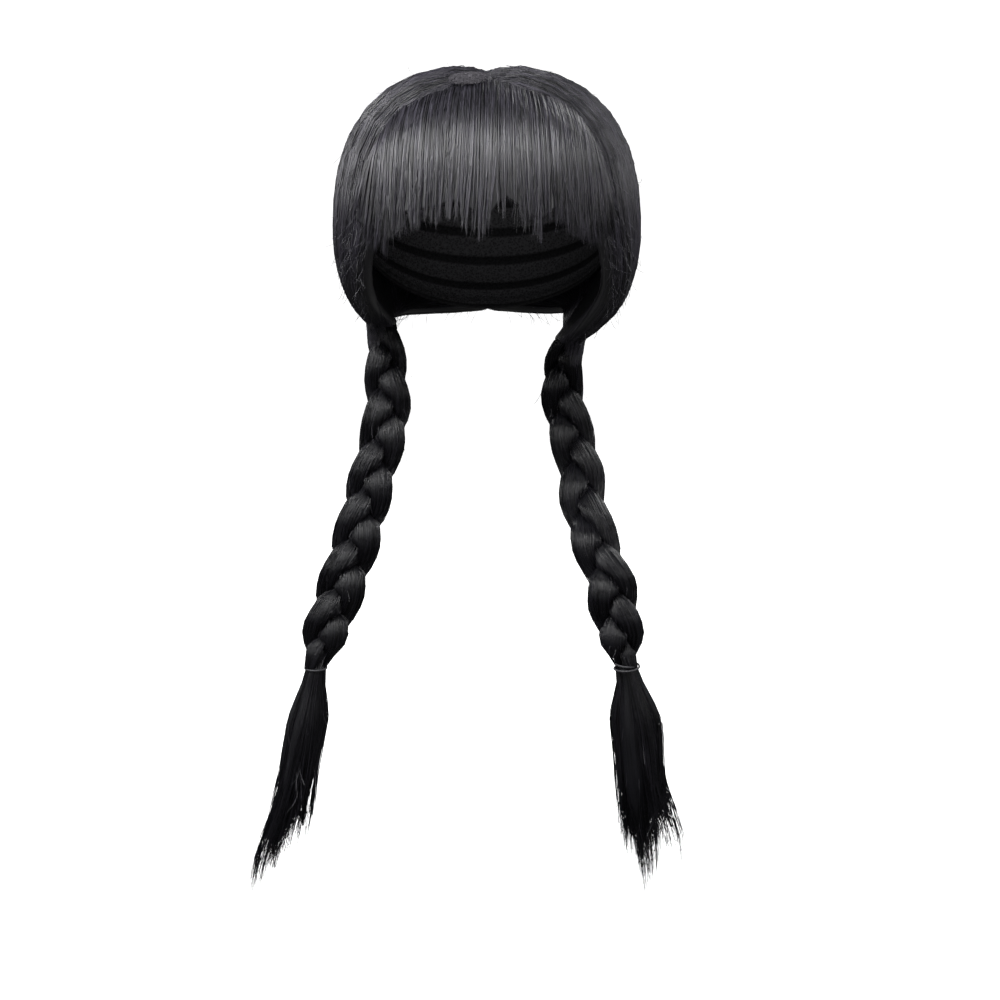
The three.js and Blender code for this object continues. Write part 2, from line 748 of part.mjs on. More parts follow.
const wig = new THREE.Group();
const patchRoom = makePatch(LAYER_GAP);
const fringeRoom = makeFringe(LAYER_GAP);
wig.add(meshOf("cap", makeCap(), materials.cap));
wig.add(meshOf("fringe", largest(makeFringe(0).subtract(patchRoom)), materials.fringe));
wig.add(meshOf("root_patch", makePatch(0), materials.patch));
for (const name of Object.keys(SIDES)) {
  const half = largest(makeHalf(placeOf(name)).subtract(fringeRoom).subtract(patchRoom));
  wig.add(meshOf(`${name}_hair`, half, materials.hair));
  for (let strand = 0; strand < 3; strand += 1) {
    wig.add(meshOf(`${name}_strand_${strand + 1}`, makeStrand(name, strand), materials.plait));
  }
  wig.add(meshOf(`${name}_tie`, makeTie(name), materials.band));
  wig.add(meshOf(`${name}_tail`, makeTail(name), materials.plait));
}

export default wig;
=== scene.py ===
"""Blender scene of the pigtail wig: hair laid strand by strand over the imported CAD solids."""

import math

import bpy
import numpy as np
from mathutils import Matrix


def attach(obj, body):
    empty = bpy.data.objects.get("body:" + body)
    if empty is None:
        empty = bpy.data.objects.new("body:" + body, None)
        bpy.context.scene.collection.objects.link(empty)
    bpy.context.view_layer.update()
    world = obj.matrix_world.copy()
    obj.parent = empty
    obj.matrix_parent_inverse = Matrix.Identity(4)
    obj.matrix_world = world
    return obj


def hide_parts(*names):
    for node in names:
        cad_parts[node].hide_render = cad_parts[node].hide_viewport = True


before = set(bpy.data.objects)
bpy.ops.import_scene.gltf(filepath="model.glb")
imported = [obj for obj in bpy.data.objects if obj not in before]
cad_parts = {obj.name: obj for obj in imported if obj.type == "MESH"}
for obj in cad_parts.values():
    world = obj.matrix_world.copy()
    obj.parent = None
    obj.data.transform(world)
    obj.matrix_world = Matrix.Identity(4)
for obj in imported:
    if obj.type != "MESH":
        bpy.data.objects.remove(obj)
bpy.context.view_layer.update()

MM = 0.001
FLOOR_Z = -0.56

# Head inside the cap, millimetres from the middle of its widest level
HEAD_HALF_WIDTH = 76.5
HEAD_FRONT = 95
HEAD_BACK = 94
HEAD_RISE = 85
HEAD_DROP = 75

# Cap: its wall, and how far down from straight up its edge lies, in degrees
CAP_WALL = 1.5
CAP_EDGE_FRONT_DEG = 62
CAP_EDGE_BACK_DEG = 128

# Depth of the hair over the cap
HAIR_TOP = 11.8
HAIR_SIDE = 15
HAIR_FRONT = 11.5
HAIR_BACK = 15
HAIR_BELOW = 18.5

SEAT_GAP = 1.4
LAYER_GAP = 0.8
END_GAP = 0.35

PARTING_DEPTH = 3.5
PARTING_SHARE = 0.05
RIBS = 5
RIB_HEIGHT = 1.5

FRINGE_FALL = 105
FRINGE_SPREAD = 0.86
FRINGE_ROOT_DEG = 33
FRINGE_ROOT_SWEEP_DEG = 15
FRINGE_HEM_DEG = 77
FRINGE_DEPTH = 4.2
FRINGE_DRAW = 0.82
FRINGE_TUCK = 0.035
LOCK_HALF_WIDTH = 6.8

PATCH_LENGTH = 24
PATCH_WIDTH = 23
PATCH_THICKNESS = 3.4
PATCH_PROUD = 0.5
PATCH_OUT = 11
PATCH_AHEAD = 60

GATHER_DOWN = 150
GATHER_HALF_WIDTH = 10
GATHER_HALF_DEPTH = 12.5
GATHER_FROM_SHARE = 0.74

PLAIT_FALL = 205
PLAIT_SWING = 40
PLAIT_AHEAD = 60
PLAIT_PITCH = 91
PLAIT_HALF_WIDTH = 16.5
PLAIT_HALF_DEPTH = 12
STRAND_SPREAD = 0.63
STRAND_GAP = 0.1
STRAND_RISE = 0.04

TAIL_FALL = 145
TAIL_SPREAD = 16
TAIL_LEAN = 28

NECK_RADIUS = 7
BAND_RADIUS = 0.7
TIE_HUG = -1
BAND_PITCH = 3.4

# Squareness of the rounded forms: 2 is an ellipse
PLAN_POWER = 2.2
HAIR_POWER = 2.5
HEAD_POWER = 2.2
BELOW_POWER = 2

# The two sides, in shares of the sizes above, as in the CAD
SIDES = {
    "left": {"sign": -1, "out": 0.71, "back": 0.217, "down": 0.967, "fall": 1.022,
             "swing": 1.04, "ahead": 0.93, "bulge": 0.35, "turns": 1},
    "right": {"sign": 1, "out": 0.548, "back": 0.299, "down": 1.04, "fall": 0.9585,
              "swing": 0.9, "ahead": 1.13, "bulge": 0.093, "turns": 2},
}

# Guides for the flow of a half, from the parting to the gathered hair: side, along, up
FLOW_GUIDES = [
    [(0, -0.58, 0.83), (0.5, -0.6, 0.62), (0.7, -0.66, 0.05), (0.78, -0.34, -0.4)],
    [(0, 0.06, 1), (0.62, -0.14, 0.76), (0.96, -0.22, 0.1), (0.92, -0.08, -0.48)],
    [(0, 0.7, 0.66), (0.5, 0.68, 0.5), (0.84, 0.5, 0.02), (0.88, 0.36, -0.52)],
    [(0, 0.76, -0.62), (0.22, 0.72, -0.64), (0.42, 0.62, -0.63), (0.58, 0.46, -0.61)],
]

# Locks of the fringe: share of the half width, share of the fall, lean in lock widths
FRINGE_LOCKS = [
    (-0.84, 0.93, 0), (-0.75, 1, 0.1), (-0.65, 0.985, 0), (-0.54, 0.91, -0.1),
    (-0.42, 0.885, -0.15), (-0.31, 0.865, -0.2), (-0.2, 0.83, -0.3), (-0.08, 0.885, -0.4),
    (0.01, 0.92, -0.3), (0.12, 0.8, -0.1), (0.23, 0.87, 0.2), (0.33, 0.95, 0.15),
    (0.44, 0.86, 0), (0.54, 0.9, 0.1), (0.64, 0.985, 0.1), (0.74, 0.99, 0.1), (0.84, 0.92, 0.1),
]

# Course of a plait: down, swing, ahead, in shares
PLAIT_COURSE = {
    "left": [(0, 0, 0), (0.17, -0.06, 0.21), (0.29, -0.04, 0.36), (0.41, 0.11, 0.5),
             (0.61, 0.37, 0.71), (0.73, 0.56, 0.82), (0.9, 0.84, 0.95), (1, 1, 1)],
    "right": [(0, 0, 0), (0.12, -0.08, -0.04), (0.25, 0.01, 0.01), (0.38, 0.2, 0.19),
              (0.5, 0.29, 0.41), (0.61, 0.45, 0.66), (0.73, 0.7, 0.84), (0.86, 0.84, 0.93),
              (1, 1, 1)],
}

# Swell of a plait: down, half width, half depth, in shares
PLAIT_SWELL = [
    (0, 0.6, 1), (0.08, 0.76, 1), (0.2, 0.89, 1), (0.5, 0.95, 1), (0.8, 1, 1),
    (0.89, 0.95, 0.95), (0.945, 0.75, 0.8), (0.98, 0.44, 0.58), (1, 0.42, 0.57),
]

# Tails in shares of the sizes above; locks: length, middle x, middle y, tip x, tip y
TAILS = {
    "left": {"fall": 0.98, "spread": 0.91, "lean": -1, "bow": 1, "locks": [
        (0.86, -0.75, 0.1, -0.55, 0.1), (1, -0.2, -0.6, -0.75, -0.2), (0.93, 0, 0.6, -0.2, 0.3),
        (0.8, 0.35, -0.5, 0.25, -0.4), (0.86, 0.7, 0.05, 0.75, 0.1)]},
    "right": {"fall": 1.02, "spread": 1.09, "lean": 0.57, "bow": 0.7, "locks": [
        (0.8, -0.75, 0.1, -0.5, 0.1), (1, -0.3, -0.55, -0.1, -0.2), (0.95, -0.05, 0.6, 0.1, 0.3),
        (0.78, 0.4, -0.5, 0.6, -0.3), (0.84, 0.75, 0.1, 1.15, 0.1)]},
}

# Rows of hair sewn on the inside of the cap
CAP_WEFTS = 11

# Hair counts and thicknesses
HALF_HAIRS = 1700
FRINGE_HAIRS = 3450
FRINGE_CLUMPS = 150
STRAND_HAIRS = 150
TAIL_HAIRS = 1000
TAIL_WISPS = 46
INNER_HAIRS = 220
JOIN_HAIRS = 330
PARTING_HAIRS = 320
HAIR_RADIUS = 0.24
FINE_RADIUS = 0.11
FLYAWAY_RADIUS = 0.115

# Loose hairs of a half: share from and to, flow from and to, count, length in mm, how much they hang
FLYAWAYS = [
    (0, 0.1, 0.3, 0.62, 110, 22, 0.2),
    (0, 0.25, 0.42, 0.72, 90, 15, 0.5),
    (0.02, 0.5, 0.1, 0.8, 50, 15, 0.1),
    (0, 0.9, 0.02, 0.25, 30, 9, 0),
    (0.9, 1, 0.05, 0.8, 60, 15, 1.3),
    (0, 0.12, 0.6, 0.9, 60, 14, 0.6),
]

# Loose hairs of each plait and of each tail, and hairs on the patch
END_FLYAWAYS = 60
PATCH_HAIRS = 700

# How far the bodies lie under their hairs, and where they end
HALF_BODY_UNDER = 0.9
FRINGE_BODY_UNDER = 1.7
FRINGE_BODY_FALL = 0.89
FRINGE_BODY_HEM = 0.8
PLAIT_BODY_UNDER = 0.35
TAIL_BODY_END = 0.86

# Room between the fringe and the hair under it, and the angles where that hair comes out again
FRINGE_CLEARANCE = 1.5
UNDER_FRINGE_END_DEG = (88, 104)

# Ends of the halves' hairs: their flow, and how far they and the joining hairs run into the plait
HAIR_END_FLOW = 0.995
HAIR_RUN_ON = 9
JOIN_RUN_ON = (5, 16)

# Steps along a plait: mm between rings of a strand, and the share between a hair's neighbours
PLAIT_RING_STEP = 1.9
NEIGHBOUR_STEP = 1 / 120

# Elastic: steps in a turn, sides of its section, and how far the section twists in a turn
BAND_STEPS = 90
BAND_SIDES = 12
BAND_TWIST = 60

# Floor and camera, in metres
FLOOR_REACH = 2.4
FLOOR_BEND = 0.9
WALL_TOP = 2.6
CAMERA_PLACE = (0.008, -1.05, -0.04)
CAMERA_DOWN_DEG = 11.5
CAMERA_LENS = 60.8
CAMERA_SENSOR = 36

# Lights: name, place, aim, size, watts
LIGHTS = [
    ("key", (-0.25, -1.2, 1.1), (0, -0.05, -0.05), (1.5, 0.4), 31),
    ("high_left", (-0.9, -0.75, 1.35), (-0.06, -0.05, -0.03), (0.6, 0.4), 35),
    ("top", (0, -0.2, 1.5), (0, 0, 0), (1.0, 0.8), 0.6),
    ("left_side", (-1.35, -0.65, 0.38), (-0.05, 0, -0.08), (0.5, 1.1), 17),
    ("right_side", (1.4, -0.55, 0.4), (0.05, 0, -0.08), (0.5, 0.9), 18),
    ("rear_left", (-1.1, 1.2, 0.5), (0, 0, -0.15), (0.7, 0.9), 11),
    ("rear_right", (1.1, 1.2, 0.5), (0, 0, -0.15), (0.7, 0.9), 11),
    ("low_front", (0, -1.5, -0.35), (0, 0, -0.1), (1.0, 0.4), 3),
]
WORLD_STRENGTH = 0.12

DOWN = np.array([0, 0, -1.0])

CENTRE = np.array([0.0, 0.0, -HEAD_RISE])
HEAD = dict(half_width=HEAD_HALF_WIDTH, front=HEAD_FRONT, back=HEAD_BACK, rise=HEAD_RISE,
            drop=HEAD_DROP, power=HEAD_POWER)
HAIR = dict(half_width=HEAD_HALF_WIDTH + CAP_WALL + HAIR_SIDE, front=HEAD_FRONT + CAP_WALL + HAIR_FRONT,
            back=HEAD_BACK + CAP_WALL + HAIR_BACK, rise=HEAD_RISE + CAP_WALL + HAIR_TOP,
            drop=HEAD_DROP + CAP_WALL + HAIR_BELOW, power=HAIR_POWER)
CROWN_Z = CENTRE[2] + HAIR["rise"]


def smoothstep(x, low, high):
    t = np.clip((x - low) / (high - low), 0, 1)
    return t * t * (3 - 2 * t)


def lerp(a, b, t):
    return a + (b - a) * t


def vectors(x, y, z):
    """Points or directions from their three coordinates."""
    return np.stack(np.broadcast_arrays(x, y, z), axis=-1)


def unit(way):
    return way / np.linalg.norm(way, axis=-1, keepdims=True)


def round_turn(count):
    """Angles of a number of points, evenly round a ring."""
    return np.arange(count) * 2 * math.pi / count


def on_form(form, direction, by=0.0):
    """The point of a form, grown by an amount, in a direction from its centre."""
    x, y, z = direction[..., 0], direction[..., 1], direction[..., 2]
    above = z > 0
    power = np.where(above, form["power"], BELOW_POWER)
    length = np.where(y < 0, form["front"], form["back"]) + by
    height = np.where(above, form["rise"], form["drop"]) + by
    plan = np.abs(x / (form["half_width"] + by)) ** PLAN_POWER + np.abs(y / length) ** PLAN_POWER
    total = plan ** (power / PLAN_POWER) + np.abs(z / height) ** power
    return direction * (total ** (-1 / power))[..., None] + CENTRE


def catmull(points, t):
    """A centripetal Catmull-Rom curve through a list of points, at shares t."""
    rows = np.stack(np.broadcast_arrays(*points))
    last = len(points) - 1
    rows = np.concatenate([(2 * rows[0] - rows[1])[None], rows, (2 * rows[last] - rows[last - 1])[None]])
    place = np.asarray(t) * last
    low = np.clip(np.floor(place).astype(int), 0, last - 1)
    w = (place - low)[..., None]
    if rows.ndim == 2:
        pick = [rows[low + k] for k in range(4)]
    else:
        pick = [np.take_along_axis(rows, (low + k)[None, ..., None], axis=0)[0] for k in range(4)]
    gaps = [np.maximum(np.linalg.norm(pick[k + 1] - pick[k], axis=-1, keepdims=True) ** 0.5, 1e-4)
            for k in range(3)]
    a, b, c, d = pick
    g0, g1, g2 = gaps
    m1 = ((b - a) / g0 - (c - a) / (g0 + g1) + (c - b) / g1) * g1
    m2 = ((c - b) / g1 - (d - b) / (g1 + g2) + (d - c) / g2) * g1
    return b + m1 * w + (-3 * b + 3 * c - 2 * m1 - m2) * w**2 + (2 * b - 2 * c + m1 + m2) * w**3


def table_value(rows, column, at):
    """A table's value at shares, running smoothly through its rows."""
    table = np.array(rows, dtype=float)
    at = np.asarray(at, dtype=float)
    last = len(table) - 1
    row = np.clip(np.searchsorted(table[:, 0], at, side="left") - 1, 0, last - 1)
    before = np.maximum(row - 1, 0)
    after = np.minimum(row + 2, last)
    key, value = table[:, 0], table[:, column]
    span = key[row + 1] - key[row]
    t = (at - key[row]) / span
    slope_from = (value[row + 1] - value[before]) / (key[row + 1] - key[before]) * span
    slope_to = (value[after] - value[row]) / (key[after] - key[row]) * span
    return ((2 * t**3 - 3 * t**2 + 1) * value[row] + (t**3 - 2 * t**2 + t) * slope_from
            + (3 * t**2 - 2 * t**3) * value[row + 1] + (t**3 - t**2) * slope_to)


def soft_noise(rng, x, knots, octaves=2):
    """Smooth noise of one variable in 0 to 1, between -1 and 1."""
    total = np.zeros_like(np.asarray(x, dtype=float))
    size = 1.0
    weight = 0.0
    for octave in range(octaves):
        count = knots * 2**octave
        values = rng.uniform(-1, 1, count + 3)
        place = np.clip(x, 0, 1) * count
        low = np.floor(place).astype(int)
        w = place - low
        w = w * w * (3 - 2 * w)
        total = total + size * lerp(values[low], values[low + 1], w)
        weight += size
        size *= 0.5
    return total / weight


def mesh_object(name, points, faces, materials, uv=None, rides=True):
    """An object of a mesh given in millimetres, riding on the wig's one body."""
    mesh = bpy.data.meshes.new(name)
    points = np.asarray(points, dtype=np.float32).reshape(-1, 3) * MM
    faces = np.asarray(faces, dtype=np.int32)
    sides = faces.shape[1]
    mesh.vertices.add(len(points))
    mesh.vertices.foreach_set("co", points.ravel())
    mesh.loops.add(faces.size)
    mesh.loops.foreach_set("vertex_index", faces.ravel())
    mesh.polygons.add(len(faces))
    mesh.polygons.foreach_set("loop_start", np.arange(0, faces.size, sides, dtype=np.int32))
    mesh.update(calc_edges=True)
    if uv is not None:
        layer = mesh.uv_layers.new(name="flow")
        layer.data.foreach_set("uv", np.asarray(uv, dtype=np.float32)[faces.ravel()].ravel())
    for material in materials:
        mesh.materials.append(material)
    mesh.polygons.foreach_set("use_smooth", np.full(len(faces), True))
    mesh.validate()
    piece = bpy.data.objects.new(name, mesh)
    bpy.context.scene.collection.objects.link(piece)
    if rides:
        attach(piece, "root")
    return piece


def grid_quads(rows, around, closed=False):
    """Quads between rows that each close round. With closed, the last row joins the first."""
    j = np.arange(rows if closed else rows - 1)[:, None]
    i = np.arange(around)[None]
    here, there = j * around, (j + 1) % rows * around
    after = (i + 1) % around
    return np.stack([here + i, here + after, there + after, there + i], axis=-1).reshape(-1, 4)


def tube_mesh(paths, radii, tint, sides=3):
    """Open tapered tubes along paths of shape hairs, points, 3. The tint of each hair is its U."""
    hairs, count, _ = paths.shape
    along = np.gradient(paths, axis=1)
    along /= np.linalg.norm(along, axis=-1, keepdims=True) + 1e-9
    guide = np.array([0.31, -0.23, 0.17]) + np.zeros_like(along)
    across = np.cross(along, guide)
    across /= np.linalg.norm(across, axis=-1, keepdims=True) + 1e-9
    up = np.cross(along, across)
    turn = round_turn(sides)
    ring = (across[:, :, None, :] * np.cos(turn)[None, None, :, None]
            + up[:, :, None, :] * np.sin(turn)[None, None, :, None])
    points = paths[:, :, None, :] + ring * radii[:, :, None, None]
    quads = (np.arange(hairs) * count * sides)[:, None, None] + grid_quads(count, sides)[None]
    share = np.broadcast_to(np.linspace(0, 1, count)[None, :, None], (hairs, count, sides))
    tint = np.broadcast_to(np.reshape(tint, (hairs, 1, 1)), (hairs, count, sides))
    uv = np.stack([tint, share], axis=-1).reshape(-1, 2)
    return points.reshape(-1, 3), quads.reshape(-1, 4), uv


def taper(hairs, count, radius, root=0.7, tip=0.25, rng=None):
    """Radii along hairs: a little thinner at the root, and drawn out at the tip."""
    t = np.linspace(0, 1, count)[None, :]
    shape = lerp(root, 1, smoothstep(t, 0, 0.08)) * lerp(1, tip, smoothstep(t, 0.8, 1))
    size = radius if rng is None else radius * rng.uniform(0.7, 1.25, (hairs, 1))
    return np.broadcast_to(shape * size, (hairs, count))


def hair_object(name, groups, materials):
    """One piece of many hairs. groups is a list of (paths, radii, tint)."""
    points, faces, uvs = [], [], []
    start = 0
    for paths, radii, tint in groups:
        p, f, u = tube_mesh(paths, radii, tint)
        points.append(p)
        faces.append(f + start)
        uvs.append(u)
        start += len(p)
    piece = mesh_object(name, np.concatenate(points), np.concatenate(faces), materials,
                        uv=np.concatenate(uvs))
    return piece


def grid_uv(u, v):
    """UV of a grid whose rows lie at v and whose columns lie at u."""
    return np.stack(np.broadcast_arrays(u[None, :], v[:, None]), axis=-1).reshape(-1, 2)


def closed_wall(outer, inner):
    """Points, quads and UV of a wall between two grids, closed round its four edges."""
    rows, across, _ = outer.shape
    ring = np.concatenate([outer, inner[:, ::-1]], axis=1)
    around = 2 * across
    quads = [grid_quads(rows, around)]
    k = np.arange(across - 1)
    under = around - 1 - k
    end = (rows - 1) * around
    quads.append(np.stack([k, under, under - 1, k + 1], axis=-1))
    quads.append(np.stack([end + k, end + k + 1, end + under - 1, end + under], axis=-1))
    u = np.concatenate([np.linspace(0, 1, across), np.linspace(1, 0, across)])
    uv = grid_uv(u, np.linspace(0, 1, rows))
    return ring.reshape(-1, 3), np.concatenate(quads), uv


def ring_loft(rings):
    """Points, quads and UV of a loft through rings, each end drawn to its middle."""
    count, around, _ = rings.shape
    first = rings[0].mean(axis=0) + (rings[0] - rings[0].mean(axis=0)) * 0.02
    last = rings[-1].mean(axis=0) + (rings[-1] - rings[-1].mean(axis=0)) * 0.02
    rings = np.concatenate([first[None], rings, last[None]])
    count += 2
    uv = grid_uv(np.arange(around) / around, np.linspace(0, 1, count))
    return rings.reshape(-1, 3), grid_quads(count, around), uv


def new_material(name, roughness, specular):
    """A material, its node tree and its shader."""
    material = bpy.data.materials.new(name)
    material.use_nodes = True
    shader = material.node_tree.nodes["Principled BSDF"]
    shader.inputs["Roughness"].default_value = roughness
    shader.inputs["Specular IOR Level"].default_value = specular
    return material, material.node_tree, shader


def add_node(tree, kind, values=None, sources=None):
    """A new node, with values for some of its inputs and sources for others."""
    node = tree.nodes.new(kind)
    for socket, value in (values or {}).items():
        node.inputs[socket].default_value = value
    for socket, source in (sources or {}).items():
        tree.links.new(source, node.inputs[socket])
    return node


def add_ramp(tree, source, low, dark, high, light):
    """The colour of a source that runs from one colour to another."""
    ramp = add_node(tree, "ShaderNodeValToRGB", sources={"Fac": source})
    first, last = ramp.color_ramp.elements
    first.position = low
    first.color = (*dark, 1)
    last.position = high
    last.color = (*light, 1)
    return ramp.outputs["Color"]


def add_bump(tree, shader, height, strength, distance):
    bump = add_node(tree, "ShaderNodeBump", {"Strength": strength, "Distance": distance},
                    {"Height": height})
    tree.links.new(bump.outputs["Normal"], shader.inputs["Normal"])


def flow_uv(tree):
    uv = tree.nodes.new("ShaderNodeUVMap")
    uv.uv_map = "flow"
    return uv.outputs["UV"]


def hair_material(name, dark, light, roughness, streaks=True, specular=0.5):
    """Black synthetic hair: a colour that varies from strand to strand, with streaks a bump as well."""
    material, tree, shader = new_material(name, roughness, specular)
    shader.inputs["IOR"].default_value = 1.55
    stretch = add_node(tree, "ShaderNodeMapping", {"Scale": (160, 3, 1)}, {"Vector": flow_uv(tree)})
    noise = add_node(tree, "ShaderNodeTexNoise", {"Scale": 1.0, "Detail": 4},
                     {"Vector": stretch.outputs["Vector"]}).outputs["Fac"]
    tree.links.new(add_ramp(tree, noise, 0.4, dark, 0.68, light), shader.inputs["Base Color"])
    if streaks:
        add_bump(tree, shader, noise, 0.6, 0.0006)
    return material


def net_material():
    """Cap: knitted net, matt black, with a fine mesh and sewn rows."""
    material, tree, shader = new_material("cap_net", 0.85, 0.25)
    place = tree.nodes.new("ShaderNodeTexCoord").outputs["Object"]
    weave = add_node(tree, "ShaderNodeTexVoronoi", {"Scale": 700}, {"Vector": place}).outputs["Distance"]
    mesh_colour = add_ramp(tree, weave, 0.1, (0.02, 0.02, 0.022), 0.6, (0.075, 0.075, 0.08))
    split = add_node(tree, "ShaderNodeSeparateXYZ", sources={"Vector": flow_uv(tree)})
    rows = add_node(tree, "ShaderNodeMath", {1: 2 * math.pi * CAP_WEFTS}, {0: split.outputs["Y"]})
    rows.operation = "MULTIPLY"
    wave = add_node(tree, "ShaderNodeMath", sources={0: rows.outputs["Value"]})
    wave.operation = "COSINE"
    row_colour = add_ramp(tree, wave.outputs["Value"], 0.3, (1, 1, 1), 0.75, (0.2, 0.2, 0.21))
    blend = tree.nodes.new("ShaderNodeMix")
    blend.data_type = "RGBA"
    blend.blend_type = "MULTIPLY"
    blend.inputs["Factor"].default_value = 1
    tree.links.new(mesh_colour, blend.inputs["A"])
    tree.links.new(row_colour, blend.inputs["B"])
    tree.links.new(blend.outputs["Result"], shader.inputs["Base Color"])
    add_bump(tree, shader, weave, 0.8, 0.0005)
    return material


def plain_material(name, dark, light, roughness, scale, depth, specular=0.4):
    """A matt material whose colour and surface vary with fine noise."""
    material, tree, shader = new_material(name, roughness, specular)
    place = tree.nodes.new("ShaderNodeTexCoord").outputs["Object"]
    noise = add_node(tree, "ShaderNodeTexNoise", {"Scale": scale, "Detail": 5},
                     {"Vector": place}).outputs["Fac"]
    tree.links.new(add_ramp(tree, noise, 0.35, dark, 0.65, light), shader.inputs["Base Color"])
    add_bump(tree, shader, noise, 0.7, depth)
    return material


strand_black = hair_material("hair_strand", (0.002, 0.002, 0.003), (0.04, 0.037, 0.05), 0.35, False)
body_black = hair_material("hair_body", (0.002, 0.002, 0.003), (0.01, 0.01, 0.013), 0.42)
# Plaits and tails: darker copies of the hair and body materials. The darker colour is painted shade, for
# the shade that the hanging plaits and tails lie in.
plait_black_painted_shade = hair_material("hair_plait", (0.0004, 0.0004, 0.0007), (0.012, 0.0115, 0.015), 0.28,
                            False, 0.23)
plait_body_painted_shade = hair_material("hair_plait_body", (0.0006, 0.0006, 0.001), (0.004, 0.004, 0.006), 0.45,
                           True, 0.15)
net = net_material()
patch_grey = plain_material("root_patch", (0.03, 0.029, 0.033), (0.085, 0.08, 0.09), 0.9, 900, 0.0008,
                            0.15)
elastic = plain_material("elastic", (0.008, 0.008, 0.009), (0.035, 0.035, 0.04), 0.5, 2500, 0.0003)
pale = plain_material("pale_floor", (0.84, 0.84, 0.85), (0.88, 0.88, 0.88), 0.9, 6, 0.0001)
pale.node_tree.nodes["Principled BSDF"].inputs["Emission Color"].default_value = (1, 1, 1, 1)
pale.node_tree.nodes["Principled BSDF"].inputs["Emission Strength"].default_value = 0.74


def place_of(name):
    """A side's own sizes, from its shares."""
    side = SIDES[name]
    return dict(sign=side["sign"], turns=side["turns"], out=side["out"] * HAIR["half_width"],
                back=side["back"] * HAIR["back"], down=side["down"] * GATHER_DOWN,
                fall=side["fall"] * PLAIT_FALL, swing=side["swing"] * PLAIT_SWING,
                ahead=side["ahead"] * PLAIT_AHEAD, bulge=side["bulge"] * PLAIT_PITCH)


def guide_direction(guide):
    side, along, up = guide
    return np.array([side * HAIR["half_width"], along * (HAIR["front"] if along < 0 else HAIR["back"]),
                     up * (HAIR["rise"] if up > 0 else HAIR["drop"])])


def fringe_side(direction):
    """Where a direction lies across the fringe, and its angle from straight up."""
    x = direction[..., 0] / HAIR["half_width"]
    y = direction[..., 1] / HAIR["front"]
    z = direction[..., 2] / HAIR["rise"]
    flat = (np.abs(x) ** PLAN_POWER + np.abs(y) ** PLAN_POWER) ** (1 / PLAN_POWER)
    return x / np.maximum(flat, 1e-6), np.arctan2(flat, z)


def half_points(name, share, flow, depth, lift, under_fringe=True):
    """Points of a half of the hair: depth 0 lies on the cap and 1 on the outside."""
    place = place_of(name)
    share, flow, depth, lift = np.broadcast_arrays(share, flow, depth, lift)
    stations = [catmull([guide_direction(guide[k]) for guide in FLOW_GUIDES], share)
                for k in range(4)]
    turn = lerp(0.04, 0.96, share) * math.pi
    bulge = lerp(-1, 1, depth) * GATHER_HALF_WIDTH * np.sin(turn)
    end = vectors(place["out"] + bulge, place["back"] - GATHER_HALF_DEPTH * np.cos(turn), -place["down"])
    aim = vectors(place["out"] + GATHER_HALF_WIDTH * np.sin(turn), end[..., 1], end[..., 2]) - CENTRE
    direction = catmull(stations + [aim], flow)
    edge = smoothstep(share, 0, 0.14) * smoothstep(1 - share, 0, 0.1)
    rib = RIB_HEIGHT * (np.abs(np.sin(math.pi * RIBS * share)) - 1) * smoothstep(flow, 0, 0.2)
    dip = PARTING_DEPTH * (1 - smoothstep(flow, 0, PARTING_SHARE))
    under = on_form(HEAD, direction, CAP_WALL + SEAT_GAP)
    over = on_form(HAIR, direction, rib - dip + lift)
    outside = lerp(under, over, lerp(0.5, 1, edge)[..., None])
    point = lerp(under, outside, depth[..., None])
    if under_fringe:
        side, down = fringe_side(direction)
        reach = np.abs(side) / fringe_edge(down)
        past_root = np.degrees(down - fringe_root(side))
        inside = ((1 - smoothstep(reach, 0.8, 0.92)) * (direction[..., 1] < 0)
                  * smoothstep(past_root, -1, 6)
                  * (1 - smoothstep(down, *np.radians(UNDER_FRINGE_END_DEG))))
        buried = lerp(under, on_form(HAIR, direction, -FRINGE_DEPTH - FRINGE_CLEARANCE), 0.8)
        point = lerp(point, buried, (inside * 0.98)[..., None])
    point = lerp(point, end, smoothstep(flow, GATHER_FROM_SHARE, 1)[..., None])
    point[..., 0] = place["sign"] * (point[..., 0] + LAYER_GAP / 2)
    return point


def fringe_direction(side, down):
    """The direction of a place in the fringe: the reverse of fringe_side."""
    side = np.clip(side, -0.999, 0.999)
    ahead = (1 - np.abs(side) ** PLAN_POWER) ** (1 / PLAN_POWER)
    up = np.cos(down)
    return vectors(side * HAIR["half_width"] * np.sin(down), -ahead * HAIR["front"] * np.sin(down),
                   up * np.where(up > 0, HAIR["rise"], HAIR["drop"]))


def plait_middle(name, share):
    """The middle line of a plait, at shares of its fall."""
    place = place_of(name)
    rows = PLAIT_COURSE[name]
    share = np.asarray(share, dtype=float)
    return vectors(place["sign"] * (place["out"] + place["swing"] * table_value(rows, 1, share)),
                   place["back"] - place["ahead"] * table_value(rows, 2, share),
                   -place["down"] - END_GAP - (place["fall"] - END_GAP) * share)


def strand_place(name, strand, share):
    """Where a strand lies beside the middle of its plait, and the half sizes of the plait."""
    place = place_of(name)
    half_width = PLAIT_HALF_WIDTH * table_value(PLAIT_SWELL, 1, share)
    half_depth = PLAIT_HALF_DEPTH * table_value(PLAIT_SWELL, 2, share)
    turns = (share * place["fall"] - place["bulge"]) / PLAIT_PITCH + strand / 3
    phase = 2 * math.pi * turns - math.pi / 2
    x = (1 - STRAND_SPREAD) * half_width * np.sin(phase)
    y = -(1 - STRAND_SPREAD) * half_depth * np.sin(2 * phase)
    return x, y, half_width, half_depth


